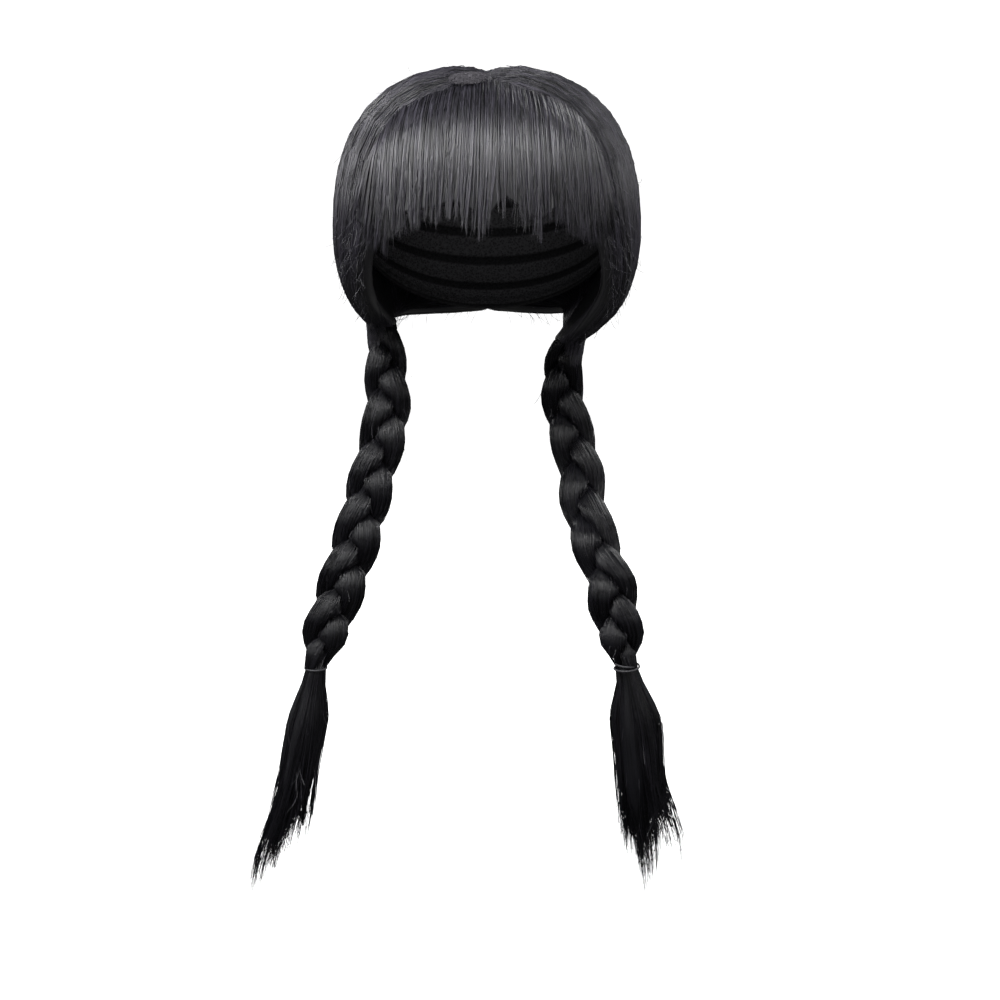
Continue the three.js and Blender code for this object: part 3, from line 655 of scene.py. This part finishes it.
def strand_reach(name, strand, share, turn, step):
    """How far a strand reaches from its middle at angles turn, cut halfway to its neighbours."""
    x, y, half_width, half_depth = strand_place(name, strand, share)
    wide = STRAND_SPREAD * half_width
    deep = STRAND_SPREAD * half_depth
    cos, sin = np.cos(turn), np.sin(turn)
    reach = 1 / np.hypot(cos / wide, sin / deep)
    for near in (-0.5, 0.5):
        level = np.clip(share + near * step, 0, 1)
        own_x, own_y, _, _ = strand_place(name, strand, level)
        for k in (1, 2):
            near_x, near_y, _, _ = strand_place(name, (strand + k) % 3, level)
            here_x, here_y, _, _ = strand_place(name, (strand + k) % 3, share)
            length = np.hypot(near_x - own_x, near_y - own_y)
            face_x, face_y = (near_x - own_x) / length, (near_y - own_y) / length
            limit = ((here_x - x) * face_x + (here_y - y) * face_y - STRAND_GAP) / 2
            toward = cos * face_x + sin * face_y
            reach = np.where(toward > 0.01, np.minimum(reach, limit / np.maximum(toward, 0.01)), reach)
    return reach, x, y


def build_half(name, seed):
    """A half of the hair: a dark body, hairs over it, hairs inside its two edges, and joining hairs."""
    rng = np.random.default_rng(seed)
    across, rows = 60, 60
    shares = np.linspace(0, 1, across)
    flows = np.linspace(0, 1, rows)[:, None]
    groove = soft_noise(np.random.default_rng(seed + 1), shares, 60) * 0.5
    sunk = groove[None] * smoothstep(flows, 0, 0.3) - HALF_BODY_UNDER
    outer = half_points(name, shares[None], flows, 1.0, sunk)
    inner = half_points(name, shares[None], flows, 0.0, 0.0)
    # The body draws in a little at its lower end, where hairs run on into the plait
    hub = (outer + inner).mean(axis=1, keepdims=True) / 2
    draw_in = 0.3 * smoothstep(flows, 0.93, 1)[..., None] * np.array([1, 1, 0])
    outer = lerp(outer, hub, draw_in)
    inner = lerp(inner, hub, draw_in)
    points, quads, uv = closed_wall(outer, inner)
    base = mesh_object(f"{name}_hair_body", points, quads, [body_black], uv=uv)
    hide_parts(f"{name}_hair")

    count = 15
    hairs = HALF_HAIRS
    share = np.sort(rng.beta(1.0, 1.0, hairs))[:, None]
    start = np.where(rng.random((hairs, 1)) < 0.75, rng.uniform(0, 0.03, (hairs, 1)),
                     rng.uniform(0.03, 0.5, (hairs, 1)))
    t = np.linspace(0, 1, count)[None]
    flow = lerp(start, HAIR_END_FLOW, t)
    clump = (soft_noise(np.random.default_rng(seed + 2), share, 26) * 0.5
             + soft_noise(np.random.default_rng(seed + 3), share, 95) * 0.35)
    lift = rng.uniform(-0.7, 0.5, (hairs, 1)) + clump
    lift = lift + 0.25 * np.sin(flow * rng.uniform(4, 12, (hairs, 1)) + rng.uniform(0, 6.3, (hairs, 1)))
    together = soft_noise(np.random.default_rng(seed + 4), share, 50) * 0.012
    drift = (together + 0.004 * rng.normal(size=(hairs, 1))) * np.sin(math.pi * flow)
    drift = drift + 0.012 * rng.normal(size=(hairs, 1)) * (1 - smoothstep(flow, 0, 0.2))
    rim = (share < 0.06) | (share > 0.95)
    depth = np.where(rim, rng.uniform(0.05, 1, (hairs, 1)), 1.0)
    paths = half_points(name, np.clip(share + drift, 0, 1), flow, depth, lift)
    paths[..., 2] -= smoothstep(flow, 0.93, HAIR_END_FLOW) * rng.uniform(0, HAIR_RUN_ON, (hairs, 1))
    tint = share + 0.006 * rng.random((hairs, 1))
    groups = [(paths, taper(hairs, count, HAIR_RADIUS * 1.1, tip=0.6, rng=rng), tint)]

    share = np.where(rng.random((INNER_HAIRS, 1)) < 0.55, rng.uniform(0, 0.22, (INNER_HAIRS, 1)),
                     rng.uniform(0.76, 1, (INNER_HAIRS, 1)))
    flow = lerp(rng.uniform(0.02, 0.4, (INNER_HAIRS, 1)), HAIR_END_FLOW, t)
    paths = half_points(name, share, flow, rng.uniform(-0.02, 0.04, (INNER_HAIRS, 1)), 0.0)
    groups.append((paths, taper(INNER_HAIRS, count, HAIR_RADIUS, tip=0.6, rng=rng), share))

    # Joining hairs bend from the end of the half into the top of the plait
    level = rng.random((JOIN_HAIRS, 1))
    start = half_points(name, level, rng.uniform(0.9, 0.96, (JOIN_HAIRS, 1)), 1.0, 0.2)
    leave = half_points(name, level, 0.997, 1.0, 0.0)
    middle = plait_middle(name, 0.02)
    leave = leave + (leave - middle) * np.array([0.03, 0.03, 0])
    onward = leave + (middle - leave) * np.array([0.1, 0.1, 0])
    onward[..., 2] -= rng.uniform(*JOIN_RUN_ON, (JOIN_HAIRS, 1))
    t = np.linspace(0, 1, 6)[None, :, None]
    bend = 2 * leave - (start + onward) / 2
    paths = start * (1 - t)**2 + bend * 2 * t * (1 - t) + onward * t**2
    groups.append((paths, taper(JOIN_HAIRS, 6, HAIR_RADIUS, tip=0.3, rng=rng), level))
    piece = hair_object(f"{name}_hair_strands", groups, [strand_black])
    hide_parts(f"{name}_hair")


def fringe_root(side):
    """Angle from straight up at which the fringe starts. It lies further down at the two sides."""
    return np.radians(FRINGE_ROOT_DEG + FRINGE_ROOT_SWEEP_DEG * (side / FRINGE_SPREAD) ** 2)


def fringe_edge(down):
    """How far across the fringe reaches at an angle from straight up, in shares of the half width."""
    low = FRINGE_ROOT_DEG + FRINGE_ROOT_SWEEP_DEG
    share = (np.degrees(down) - low) / (FRINGE_HEM_DEG - low)
    start = (np.degrees(down) - FRINGE_ROOT_DEG) / FRINGE_ROOT_SWEEP_DEG
    return FRINGE_SPREAD * lerp(0.85, 1, np.clip(share, 0, 1)) * np.sqrt(np.clip(start, 0.02, 1))


def fringe_tip(fall):
    """Angle from straight up at which hair of the fringe ends, from its share of the fall."""
    up = (CROWN_Z - fall * FRINGE_FALL - CENTRE[2]) / HAIR["rise"]
    return np.arccos(np.clip(up, -1, 1))


def fringe_course(side, tip, t):
    """How far across hair of the fringe lies, and its angle from straight up, at shares t.

    It comes out from under the side hair, falls straight and nearly keeps its place across.
    """
    border = np.radians(np.linspace(FRINGE_ROOT_DEG, FRINGE_HEM_DEG, 45))
    level = np.abs(side) * np.sin(tip) * FRINGE_DRAW / 0.96
    root = np.interp(level, fringe_edge(border) * np.sin(border), border) - FRINGE_TUCK
    down = lerp(np.minimum(root, tip - 0.2), tip, t)
    return side * np.sin(tip) / np.sin(down) * lerp(FRINGE_DRAW, 1, t), down


def build_fringe():
    """The fringe: a thin dark body, and hairs in clumps over it."""
    rng = np.random.default_rng(31)
    across, rows = 90, 36
    locks = np.array(FRINGE_LOCKS)
    sides = np.linspace(-FRINGE_SPREAD, FRINGE_SPREAD, across)[None]
    hem = fringe_tip(np.interp(sides, locks[:, 0], locks[:, 1]) * FRINGE_BODY_FALL)
    t = np.linspace(0, 1, rows)[:, None]
    groove = soft_noise(np.random.default_rng(5), (sides / FRINGE_SPREAD + 1) / 2, 40) * 0.4
    side, down = fringe_course(sides, hem, t)
    way = fringe_direction(side, down)
    dive = fringe_dive(side, down, t)
    sunk = -FRINGE_BODY_UNDER - dive
    outer = on_form(HAIR, way, sunk + groove * smoothstep(t, 0, 0.3))
    inner = on_form(HAIR, way, sunk - lerp(FRINGE_DEPTH, FRINGE_BODY_HEM, smoothstep(t, 0.4, 1)))
    points, quads, uv = closed_wall(outer, inner)
    base = mesh_object("fringe_body", points, quads, [body_black], uv=uv)
    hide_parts("fringe")

    # Clumps of hairs side by side, each drawn towards the tip of the lock that it lies in
    clumps = FRINGE_CLUMPS
    each = FRINGE_HAIRS // clumps
    hairs = clumps * each
    count = 9
    gap = 2 * FRINGE_SPREAD / clumps
    clump_side = (np.arange(clumps) + 0.5) * gap - FRINGE_SPREAD + rng.normal(size=clumps) * gap * 0.3
    pick = np.argmin(np.abs(clump_side[:, None] - locks[None, :, 0]), axis=1)
    lock_side, lean = locks[pick, 0], locks[pick, 2]
    wisp = np.arange(clumps) // 3
    wisp_side = np.bincount(wisp, clump_side) / np.bincount(wisp)
    wisp_tip = wisp_side + rng.normal(size=len(wisp_side)) * gap * 0.8
    clump_tip = lerp(clump_side, lock_side, 0.2) + lean * LOCK_HALF_WIDTH * 2 / HAIR["half_width"]
    clump_tip = lerp(clump_tip, wisp_tip[wisp], 0.55)
    off = (clump_side - lock_side) / 0.055
    profile = np.interp(clump_side, locks[:, 0], locks[:, 1])
    clump_fall = lerp(profile, locks[pick, 1], 0.6) - 0.03 * off**2 + rng.normal(size=clumps) * 0.014
    clump_fall = clump_fall + (rng.normal(size=len(wisp_side)) * 0.022)[wisp]
    clump_lift = rng.uniform(-0.6, 0.1, clumps)
    clump_wave = rng.normal(size=clumps) * 0.005
    clump_turn = rng.uniform(0, 2 * math.pi, clumps)

    def spread(values):
        return np.repeat(values, each)[:, None]

    inside = rng.uniform(-1, 1, (hairs, 1))
    begin = np.where(rng.random((hairs, 1)) < 0.75, 0.0, rng.uniform(0, 0.35, (hairs, 1)))
    stop = np.where(rng.random((hairs, 1)) < 0.85, 1.0, rng.uniform(0.7, 0.98, (hairs, 1)))
    t = lerp(begin, stop, np.linspace(0, 1, count)[None])
    fall = spread(clump_fall) - 0.012 - 0.03 * np.abs(inside) + rng.normal(size=(hairs, 1)) * 0.012
    stray = np.where(rng.random((hairs, 1)) < 0.08, rng.normal(size=(hairs, 1)) * 0.05, 0)
    moved = lerp(spread(clump_side), spread(clump_tip), t**2)
    moved = moved + inside * gap * 1.3 * (1 - 0.85 * smoothstep(t, 0.72, 1)) + stray * t**3
    moved = moved + spread(clump_wave) * np.sin(5 * t + spread(clump_turn))
    side, down = fringe_course(moved, fringe_tip(fall), t)
    layer = rng.random((hairs, 1)) ** 1.5 * 3
    lift = spread(clump_lift) - 0.4 * inside**2 - layer - 0.7 * t**2
    lift = lift + 0.3 * rng.normal(size=(hairs, 1)) * t
    paths = on_form(HAIR, fringe_direction(side, down), lift - fringe_dive(side, down, t))
    tint = spread(clump_turn) / 6.3 + 0.006 * rng.random((hairs, 1))
    groups = [(paths, taper(hairs, count, HAIR_RADIUS * 0.95, tip=0.15, rng=rng), tint)]
    piece = hair_object("fringe_strands", groups, [strand_black])
    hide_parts("fringe")


def fringe_dive(side, down, t):
    """How far hair of the fringe dips at its border, to come out from under the side hair."""
    border = 1.6 * smoothstep(np.abs(side) / fringe_edge(down), 0.88, 1) * (1 - 0.75 * t**2)
    root = lerp(0.9, 2.2, smoothstep(np.abs(side), 0.1, 0.4))
    return np.maximum(border, root * (1 - smoothstep(t, 0, 0.24)))


def build_plait(name, seed):
    """A plait: three strands, each a dark body with hairs along it."""
    place = place_of(name)
    for strand in range(3):
        rng = np.random.default_rng(seed + strand)
        levels = int(place["fall"] / PLAIT_RING_STEP)
        around = 22
        share = np.linspace(0, 1, levels)[:, None]
        turn = round_turn(around)[None]
        reach, x, y = strand_reach(name, strand, share, turn, 1 / levels)
        groove = soft_noise(np.random.default_rng(seed + strand + 50), turn / (2 * math.pi) + 0 * share, 14)
        blend = smoothstep(turn / (2 * math.pi), 0.9, 1)
        groove = groove * (1 - blend) + groove[:, :1] * blend
        reach = reach - PLAIT_BODY_UNDER + 0.3 * groove
        middle = plait_middle(name, share[:, 0])[:, None, :]
        rings = middle + vectors(x + reach * np.cos(turn), y + reach * np.sin(turn), 0)
        points, quads, uv = ring_loft(rings)
        base = mesh_object(f"{name}_strand_{strand + 1}_body", points, quads, [plait_body_painted_shade], uv=uv)
        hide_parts(f"{name}_strand_{strand + 1}")

        hairs = STRAND_HAIRS
        count = 30
        rise = STRAND_RISE * rng.uniform(0.2, 1.1, (hairs, 1))
        t = lerp(-rise, 1, np.linspace(0, 1, count)[None])
        angle = rng.uniform(0, 2 * math.pi, (hairs, 1))
        drift = rng.normal(size=(hairs, 1)) * 0.25 * np.sin(t * rng.uniform(3, 9, (hairs, 1)))
        reach, x, y = strand_reach(name, strand, t, angle + drift, NEIGHBOUR_STEP)
        reach = reach + rng.uniform(-0.5, 0.25, (hairs, 1))
        reach = reach + 0.15 * np.sin(t * rng.uniform(20, 50, (hairs, 1)))
        reach = reach * lerp(0.7, 1, smoothstep(t, -STRAND_RISE, -0.004))
        middle = plait_middle(name, t)
        # Above the plait, its hairs follow the middle of the gathered hair
        gathered = half_points(name, np.linspace(0, 1, 21)[None], np.linspace(1, 0.85, 16)[:, None],
                               0.5, 0.0).mean(axis=1)
        for k in range(2):
            held = np.interp(middle[..., 2], gathered[:, 2], gathered[:, k])
            middle[..., k] = np.where(t < 0, held, middle[..., k])
        paths = middle + vectors(x + reach * np.cos(angle + drift), y + reach * np.sin(angle + drift), 0)
        tint = angle / (2 * math.pi) + 0.01 * rng.random((hairs, 1))
        groups = [(paths, taper(hairs, count, HAIR_RADIUS * 0.9, root=1, tip=0.8, rng=rng), tint)]
        piece = hair_object(f"{name}_strand_{strand + 1}_hairs", groups, [plait_black_painted_shade])
        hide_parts(f"{name}_strand_{strand + 1}")


def build_tie(name):
    """A ridged elastic, wound once or twice round the end of a plait."""
    place = place_of(name)
    turns, sign = place["turns"], place["sign"]
    middle = plait_middle(name, 1.0)
    radius = NECK_RADIUS + TIE_HUG + BAND_RADIUS + (BAND_RADIUS if turns > 1 else 0)
    steps = BAND_STEPS * turns
    t = np.arange(steps) / steps
    turn = 2 * math.pi * turns * t
    wave = turn / turns if turns > 1 else np.full_like(turn, math.pi / 2)
    reach = radius + (BAND_RADIUS * 1.1 * np.sin(wave) if turns > 1 else 0)
    rise = (BAND_PITCH / 2) * np.cos(wave) if turns > 1 else 0 * turn
    line = vectors(middle[0] - sign * reach * np.cos(turn), middle[1] + reach * np.sin(turn),
                   middle[2] + rise)
    along = unit(np.roll(line, -1, axis=0) - np.roll(line, 1, axis=0))
    up = unit(np.array([0, 0, 1.0]) - along * along[:, 2:3])
    out = np.cross(along, up)
    section = round_turn(BAND_SIDES)
    angle = section[None] + (t * BAND_TWIST * turns)[:, None]
    ridge = BAND_RADIUS * (0.92 + 0.08 * np.cos(3 * section))[None, :, None]
    ring = line[:, None] + ridge * (out[:, None] * np.cos(angle)[..., None]
                                    + up[:, None] * np.sin(angle)[..., None])
    quads = grid_quads(steps, BAND_SIDES, closed=True)
    piece = mesh_object(f"{name}_tie_band", ring.reshape(-1, 3), quads, [elastic])
    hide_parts(f"{name}_tie")


def tail_path(name, length, mid_x, mid_y, tip_x, tip_y, t):
    """Middle and radius of a lock of the tail at shares t of its length."""
    tail = TAILS[name]
    spread = TAIL_SPREAD * tail["spread"]
    swell = smoothstep(t, 0, 0.32)
    late = smoothstep(t, 0.5, 1)
    x = lerp(lerp(0.18, 0.6, swell) * mid_x, tip_x, late) * spread
    y = lerp(lerp(0.2, 0.5, swell) * mid_y, tip_y * 0.6, late) * spread
    radius = lerp(NECK_RADIUS * 0.62, spread * 0.46, swell)
    top = plait_middle(name, 1.0) - np.array([0, 0, END_GAP])
    lean = TAIL_LEAN * tail["lean"]
    middle = vectors(top[0] + lean * (t * length) ** tail["bow"] + x, top[1] + y,
                     top[2] - TAIL_FALL * tail["fall"] * length * t)
    return middle, radius


def build_tail(name, seed):
    """A tail: a dark body of locks inside it, and hairs."""
    rng = np.random.default_rng(seed)
    locks = TAILS[name]["locks"]
    points, quads, uvs = [], [], []
    start = 0
    for lock in locks:
        t = np.linspace(0, TAIL_BODY_END, 30)
        middle, radius = tail_path(name, *lock, t)
        radius = radius * 0.9 * lerp(1, 0.1, smoothstep(t, 0.45, TAIL_BODY_END))
        angle = round_turn(20)[None]
        reach = radius[:, None] * (1 + 0.05 * np.cos(5 * angle + lock[1] * 9))
        ring = vectors(reach * np.cos(angle), reach * np.sin(angle), 0)
        p, q, u = ring_loft(middle[:, None] + ring)
        points.append(p)
        quads.append(q + start)
        uvs.append(u)
        start += len(p)
    base = mesh_object(f"{name}_tail_body", np.concatenate(points), np.concatenate(quads), [plait_body_painted_shade],
                       uv=np.concatenate(uvs))
    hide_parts(f"{name}_tail")

    # Hairs go in wisps, each drawn together towards its own tip
    hairs = TAIL_HAIRS
    count = 12
    wisp = rng.integers(0, TAIL_WISPS, hairs)

    def of_wisp(values):
        return values[wisp][:, None]

    pick = rng.integers(0, len(locks), TAIL_WISPS)[wisp]
    other = rng.integers(0, len(locks), TAIL_WISPS)[wisp]
    mix = of_wisp(np.where(rng.random(TAIL_WISPS) < 0.5, rng.random(TAIL_WISPS), 0))
    length, mid_x, mid_y, tip_x, tip_y = (
        lerp(np.array(locks)[pick, k][:, None], np.array(locks)[other, k][:, None], mix) for k in range(5))
    end = of_wisp(rng.normal(0.97, 0.07, TAIL_WISPS)) + 0.07 * rng.normal(size=(hairs, 1))
    t = np.linspace(0, 1, count)[None] * np.clip(end, 0.5, 1.1)
    middle, radius = tail_path(name, length, mid_x, mid_y, tip_x, tip_y, t)
    sway = (1.1 * np.sin(4.5 * t + 1.7 * pick[:, None])
            + 0.6 * np.sin(7 * t + of_wisp(rng.uniform(0, 6.3, TAIL_WISPS))))
    middle = middle + vectors(sway * smoothstep(t, 0, 0.3), 0, 0)
    angle = of_wisp(rng.uniform(0, 2 * math.pi, TAIL_WISPS))
    reach = of_wisp(np.sqrt(rng.random(TAIL_WISPS)))
    closing = smoothstep(t, 0.55, 1)
    own = 1 - 0.72 * closing
    x, y = (reach * side(angle) * lerp(1, 0.75, closing) + 0.3 * rng.normal(size=(hairs, 1)) * own
            for side in (np.cos, np.sin))
    far = np.maximum(1, np.hypot(x, y) / 1.02)
    fray = of_wisp(rng.normal(size=TAIL_WISPS)) * 1.2 + rng.normal(size=(hairs, 1)) * 0.9
    late = smoothstep(t, 0.5, 1.05)
    paths = middle + vectors(radius * x / far + fray * late,
                             radius * y / far + 0.6 * fray * np.sin(angle * 3) * late, 0)
    tint = of_wisp(rng.random(TAIL_WISPS)) + 0.012 * rng.random((hairs, 1))
    radii = taper(hairs, count, HAIR_RADIUS * 0.85, root=1, tip=0.2, rng=rng)
    radii = radii * lerp(1, 0.6, smoothstep(t, 0.6, 0.9))
    groups = [(paths, radii, tint)]
    piece = hair_object(f"{name}_tail_hairs", groups, [plait_black_painted_shade])
    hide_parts(f"{name}_tail")


def build_cap():
    """The net cap: smooth outside, with sewn rows and a hem inside."""
    around, rows = 72, 90
    turn = (2 * math.pi * np.arange(around + 1) / around)[None]
    backward = (1 - np.cos(turn)) / 2
    share = np.linspace(0.012, 1, rows)[:, None]
    down = np.radians(lerp(CAP_EDGE_FRONT_DEG, CAP_EDGE_BACK_DEG, backward)) * share
    flat = np.sin(down)
    way = vectors(np.sin(turn) * flat, -np.cos(turn) * flat, np.cos(down))
    hem = smoothstep(share, 0.955, 0.97)
    weft = np.maximum(0, np.cos(share * 2 * math.pi * CAP_WEFTS)) ** 4
    outer = on_form(HEAD, way, CAP_WALL + 0 * flat)
    inner = on_form(HEAD, way, 0.9 - 0.9 * np.maximum(weft, hem) + 0 * flat)
    rings = np.concatenate([outer[:, :-1], inner[::-1, :-1]])
    along = np.concatenate([share[:, 0], share[::-1, 0]])
    uv = grid_uv(turn[0, :-1] / (2 * math.pi), along)
    piece = mesh_object("cap_net", rings.reshape(-1, 3), grid_quads(len(rings), around), [net], uv=uv)
    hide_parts("cap")


def build_parting():
    """The strip that the two halves are parted on, with short root hairs lying across it."""
    rng = np.random.default_rng(61)
    shares = np.linspace(0.004, 0.996, 90)[:, None]
    depths = np.linspace(0.06, 0.9, 6)[None]
    face = half_points("right", shares, 0.0, depths, 0.0, under_fringe=False)
    half_gap = LAYER_GAP / 2 - 0.06
    left_face = face * np.array([0, 1, 1]) - np.array([half_gap, 0, 0])
    right_face = face * np.array([0, 1, 1]) + np.array([half_gap, 0, 0])
    points, quads, uv = closed_wall(left_face, right_face)
    base = mesh_object("parting_strip", points, quads, [body_black], uv=uv)
    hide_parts("left_hair")

    hairs, count = PARTING_HAIRS, 6
    share = rng.uniform(0, 1, (hairs, 1))
    t = np.linspace(-1, 1, count)[None]
    middle = half_points("right", share, 0.0, rng.uniform(0.9, 0.99, (hairs, 1)), 0.0, under_fringe=False)
    ahead, behind = (half_points("right", np.clip(share + step, 0, 1), 0.0, 0.95, 0.0, under_fringe=False)
                     for step in (0.01, -0.01))
    along = unit(ahead - behind)
    out = np.cross(along, np.array([1.0, 0, 0]))
    out = out * np.sign(np.sum(out * (middle - CENTRE), axis=-1, keepdims=True))
    reach = rng.uniform(1.2, 3.6, (hairs, 1, 1))
    slant = rng.normal(size=(hairs, 1, 1)) * 0.5
    middle = middle * np.array([0, 1, 1])
    paths = (middle + (np.array([1.0, 0, 0]) + along * slant) * reach * t[..., None]
             + out * (0.45 + 1.3 * t[..., None]**2 * reach / 3.6))
    groups = [(paths, taper(hairs, count, HAIR_RADIUS * 0.7, root=0.4, rng=rng), share)]
    piece = hair_object("parting_hairs", groups, [strand_black])
    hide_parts("left_hair")
    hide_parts("right_hair")


def curl(start, heading, bend, length, count=7):
    """Loose hairs from a start, each turning from its heading towards its bend."""
    heading, bend = unit(heading), unit(bend)
    t = np.linspace(0, 1, count)[None, :, None]
    way = heading[:, None] * t + (bend - heading)[:, None] * t**2 / 2
    return start[:, None] + length[:, None, None] * way


def build_flyaways():
    """Loose hairs: beside the fringe, over the crown, at the nape, along the plaits and the tails."""
    rng = np.random.default_rng(77)
    groups = []

    def add(start, heading, bend, length):
        paths = curl(start, heading, bend, length)
        radii = taper(len(paths), paths.shape[1], FLYAWAY_RADIUS, tip=0.3, rng=rng)
        groups.append((paths, radii, rng.random((len(paths), 1))))

    for name in SIDES:
        for low, high, flow_low, flow_high, hairs, reach, drop in FLYAWAYS:
            share = rng.uniform(low, high, (hairs, 1))
            flow = rng.uniform(flow_low, flow_high, (hairs, 1))
            start = half_points(name, share, flow, 1.0, -0.3)[:, 0]
            onward = unit(half_points(name, share, flow + 0.02, 1.0, -0.3)[:, 0] - start)
            out = unit(start - CENTRE)
            heading = onward + 0.25 * out + 0.35 * rng.normal(size=(hairs, 3)) + drop * DOWN
            bend = heading + 0.9 * rng.normal(size=(hairs, 3)) - 0.2 * out
            add(start, heading, bend, rng.uniform(0.4, 1, hairs) * reach)

        hairs = END_FLYAWAYS
        strand = rng.integers(0, 3, hairs)
        level = rng.uniform(0.03, 0.96, hairs)
        angle = rng.uniform(0, 2 * math.pi, hairs)
        starts, outs = [], []
        for k in range(hairs):
            reach, x, y = strand_reach(name, strand[k], level[k], angle[k], NEIGHBOUR_STEP)
            starts.append(plait_middle(name, level[k]) + vectors(x + reach * np.cos(angle[k]),
                                                                y + reach * np.sin(angle[k]), 0))
            outs.append([math.cos(angle[k]), math.sin(angle[k]), 0])

        tail_share = rng.uniform(0.15, 0.9, (hairs, 1))
        tail_angle = rng.uniform(0, 2 * math.pi, (hairs, 1))
        tail_out = vectors(np.cos(tail_angle), np.sin(tail_angle), 0)[:, 0]
        lock = np.array(TAILS[name]["locks"])[rng.integers(0, len(TAILS[name]["locks"]), hairs)]
        middle, radius = tail_path(name, *(lock[:, k][:, None] for k in range(5)), tail_share)
        start = middle[:, 0] + tail_out * radius * (1 - 0.5 * tail_share**2)
        heading = DOWN + 0.22 * tail_out + 0.12 * rng.normal(size=(hairs, 3))
        add(start, heading, heading + 0.4 * rng.normal(size=(hairs, 3)), rng.uniform(10, 26, hairs))
        heading = DOWN + 0.35 * np.array(outs) + 0.3 * rng.normal(size=(hairs, 3))
        bend = heading + 0.8 * rng.normal(size=(hairs, 3))
        add(np.array(starts), heading, bend, rng.uniform(5, 15, hairs))
    piece = hair_object("loose_hairs", groups, [strand_black])
    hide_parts("left_hair")
    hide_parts("right_hair")


def build_patch():
    """The rough patch of roots beside the parting: a low pad, with short hairs on it."""
    rng = np.random.default_rng(8)
    rows, around = 18, 48
    level = np.linspace(0.999, -0.9, rows)[:, None]
    turn = round_turn(around)[None]
    reach = np.sqrt(1 - level**2)
    rough = 1 + 0.05 * np.sin(turn * 5 + 1) + 0.03 * np.sin(turn * 11)
    x = -PATCH_OUT + PATCH_WIDTH / 2 * reach * rough * np.cos(turn)
    y = -PATCH_AHEAD + PATCH_LENGTH / 2 * reach * rough * np.sin(turn)
    surface = on_form(HAIR, vectors(x, y, HAIR["rise"]))
    surface[..., 2] += PATCH_PROUD - PATCH_THICKNESS / 2 + level * PATCH_THICKNESS / 2
    points, quads, uv = ring_loft(surface)
    piece = mesh_object("root_patch_pad", points, quads, [patch_grey], uv=uv)
    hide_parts("root_patch")

    hairs, count = PATCH_HAIRS, 5
    radius = rng.random((hairs, 1)) ** 0.35
    angle = rng.uniform(0, 2 * math.pi, (hairs, 1))
    x = -PATCH_OUT + PATCH_WIDTH / 2 * radius * np.cos(angle)
    y = -PATCH_AHEAD + PATCH_LENGTH / 2 * radius * np.sin(angle)
    heading = rng.normal(-1.6, 0.7, (hairs, 1))
    t = np.linspace(0, 1, count)[None]
    length = rng.uniform(2, 7, (hairs, 1))
    px = x + length * t * np.cos(heading)
    py = y + length * t * np.sin(heading)
    surface = on_form(HAIR, vectors(px, py, HAIR["rise"]))
    rim = np.sqrt(np.clip(1 - radius**2, 0, 1))
    surface[..., 2] += PATCH_PROUD - PATCH_THICKNESS / 2 * (1 - rim) + 0.3 * np.sin(math.pi * t)
    groups = [(surface, taper(hairs, count, FINE_RADIUS, rng=rng), rng.random((hairs, 1)))]
    piece = hair_object("root_patch_hairs", groups, [patch_grey])
    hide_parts("root_patch")


build_cap()
build_half("left", 100)
build_half("right", 200)
build_fringe()
build_patch()
build_parting()
build_flyaways()
for side_name, side_seed in (("left", 300), ("right", 400)):
    build_plait(side_name, side_seed)
    build_tie(side_name)
    build_tail(side_name, side_seed + 50)


def build_stage():
    """A pale floor that curves up into a wall all round. It shows, but it isn't mirrored in the hair."""
    around, steps = 96, 16
    profile = [(1e-6, 0), (FLOOR_REACH * 0.25, 0), (FLOOR_REACH, 0)]
    for k in range(1, steps + 1):
        turn = math.pi / 2 * k / steps
        profile.append((FLOOR_REACH + FLOOR_BEND * math.sin(turn), FLOOR_BEND * (1 - math.cos(turn))))
    profile.append((FLOOR_REACH + FLOOR_BEND, WALL_TOP))
    turn = round_turn(around)[None]
    reach, height = (np.array([row[k] for row in profile])[:, None] for k in range(2))
    points = vectors(reach * np.cos(turn), reach * np.sin(turn), height + FLOOR_Z) / MM
    floor = mesh_object("floor", points, grid_quads(len(profile), around), [pale], rides=False)
    floor.visible_glossy = False
    floor.visible_diffuse = False
    floor.visible_shadow = False


def area_light(name, location, target, size, energy):
    """A rectangular light that faces its target."""
    data = bpy.data.lights.new(name, "AREA")
    data.shape = "RECTANGLE"
    data.size, data.size_y = size
    data.energy = energy
    light = bpy.data.objects.new(name, data)
    bpy.context.scene.collection.objects.link(light)
    light.location = location
    way = np.array(target) - np.array(location)
    yaw = math.atan2(way[1], way[0]) - math.pi / 2
    pitch = math.atan2(way[2], math.hypot(way[0], way[1]))
    light.rotation_euler = (math.pi / 2 + pitch, 0, yaw)


def build_lights():
    for light in LIGHTS:
        area_light(*light)
    world = bpy.data.worlds.new("studio")
    bpy.context.scene.world = world
    world.use_nodes = True
    background = world.node_tree.nodes["Background"]
    background.inputs["Color"].default_value = (1, 1, 1, 1)
    background.inputs["Strength"].default_value = WORLD_STRENGTH


def build_camera():
    data = bpy.data.cameras.new("camera")
    data.sensor_width = CAMERA_SENSOR
    data.lens = CAMERA_LENS
    camera = bpy.data.objects.new("camera", data)
    bpy.context.scene.collection.objects.link(camera)
    camera.location = CAMERA_PLACE
    camera.rotation_euler = (math.radians(90 - CAMERA_DOWN_DEG), 0, 0)
    bpy.context.scene.camera = camera


build_stage()
build_lights()
build_camera()
bpy.context.scene.view_settings.view_transform = "Standard"
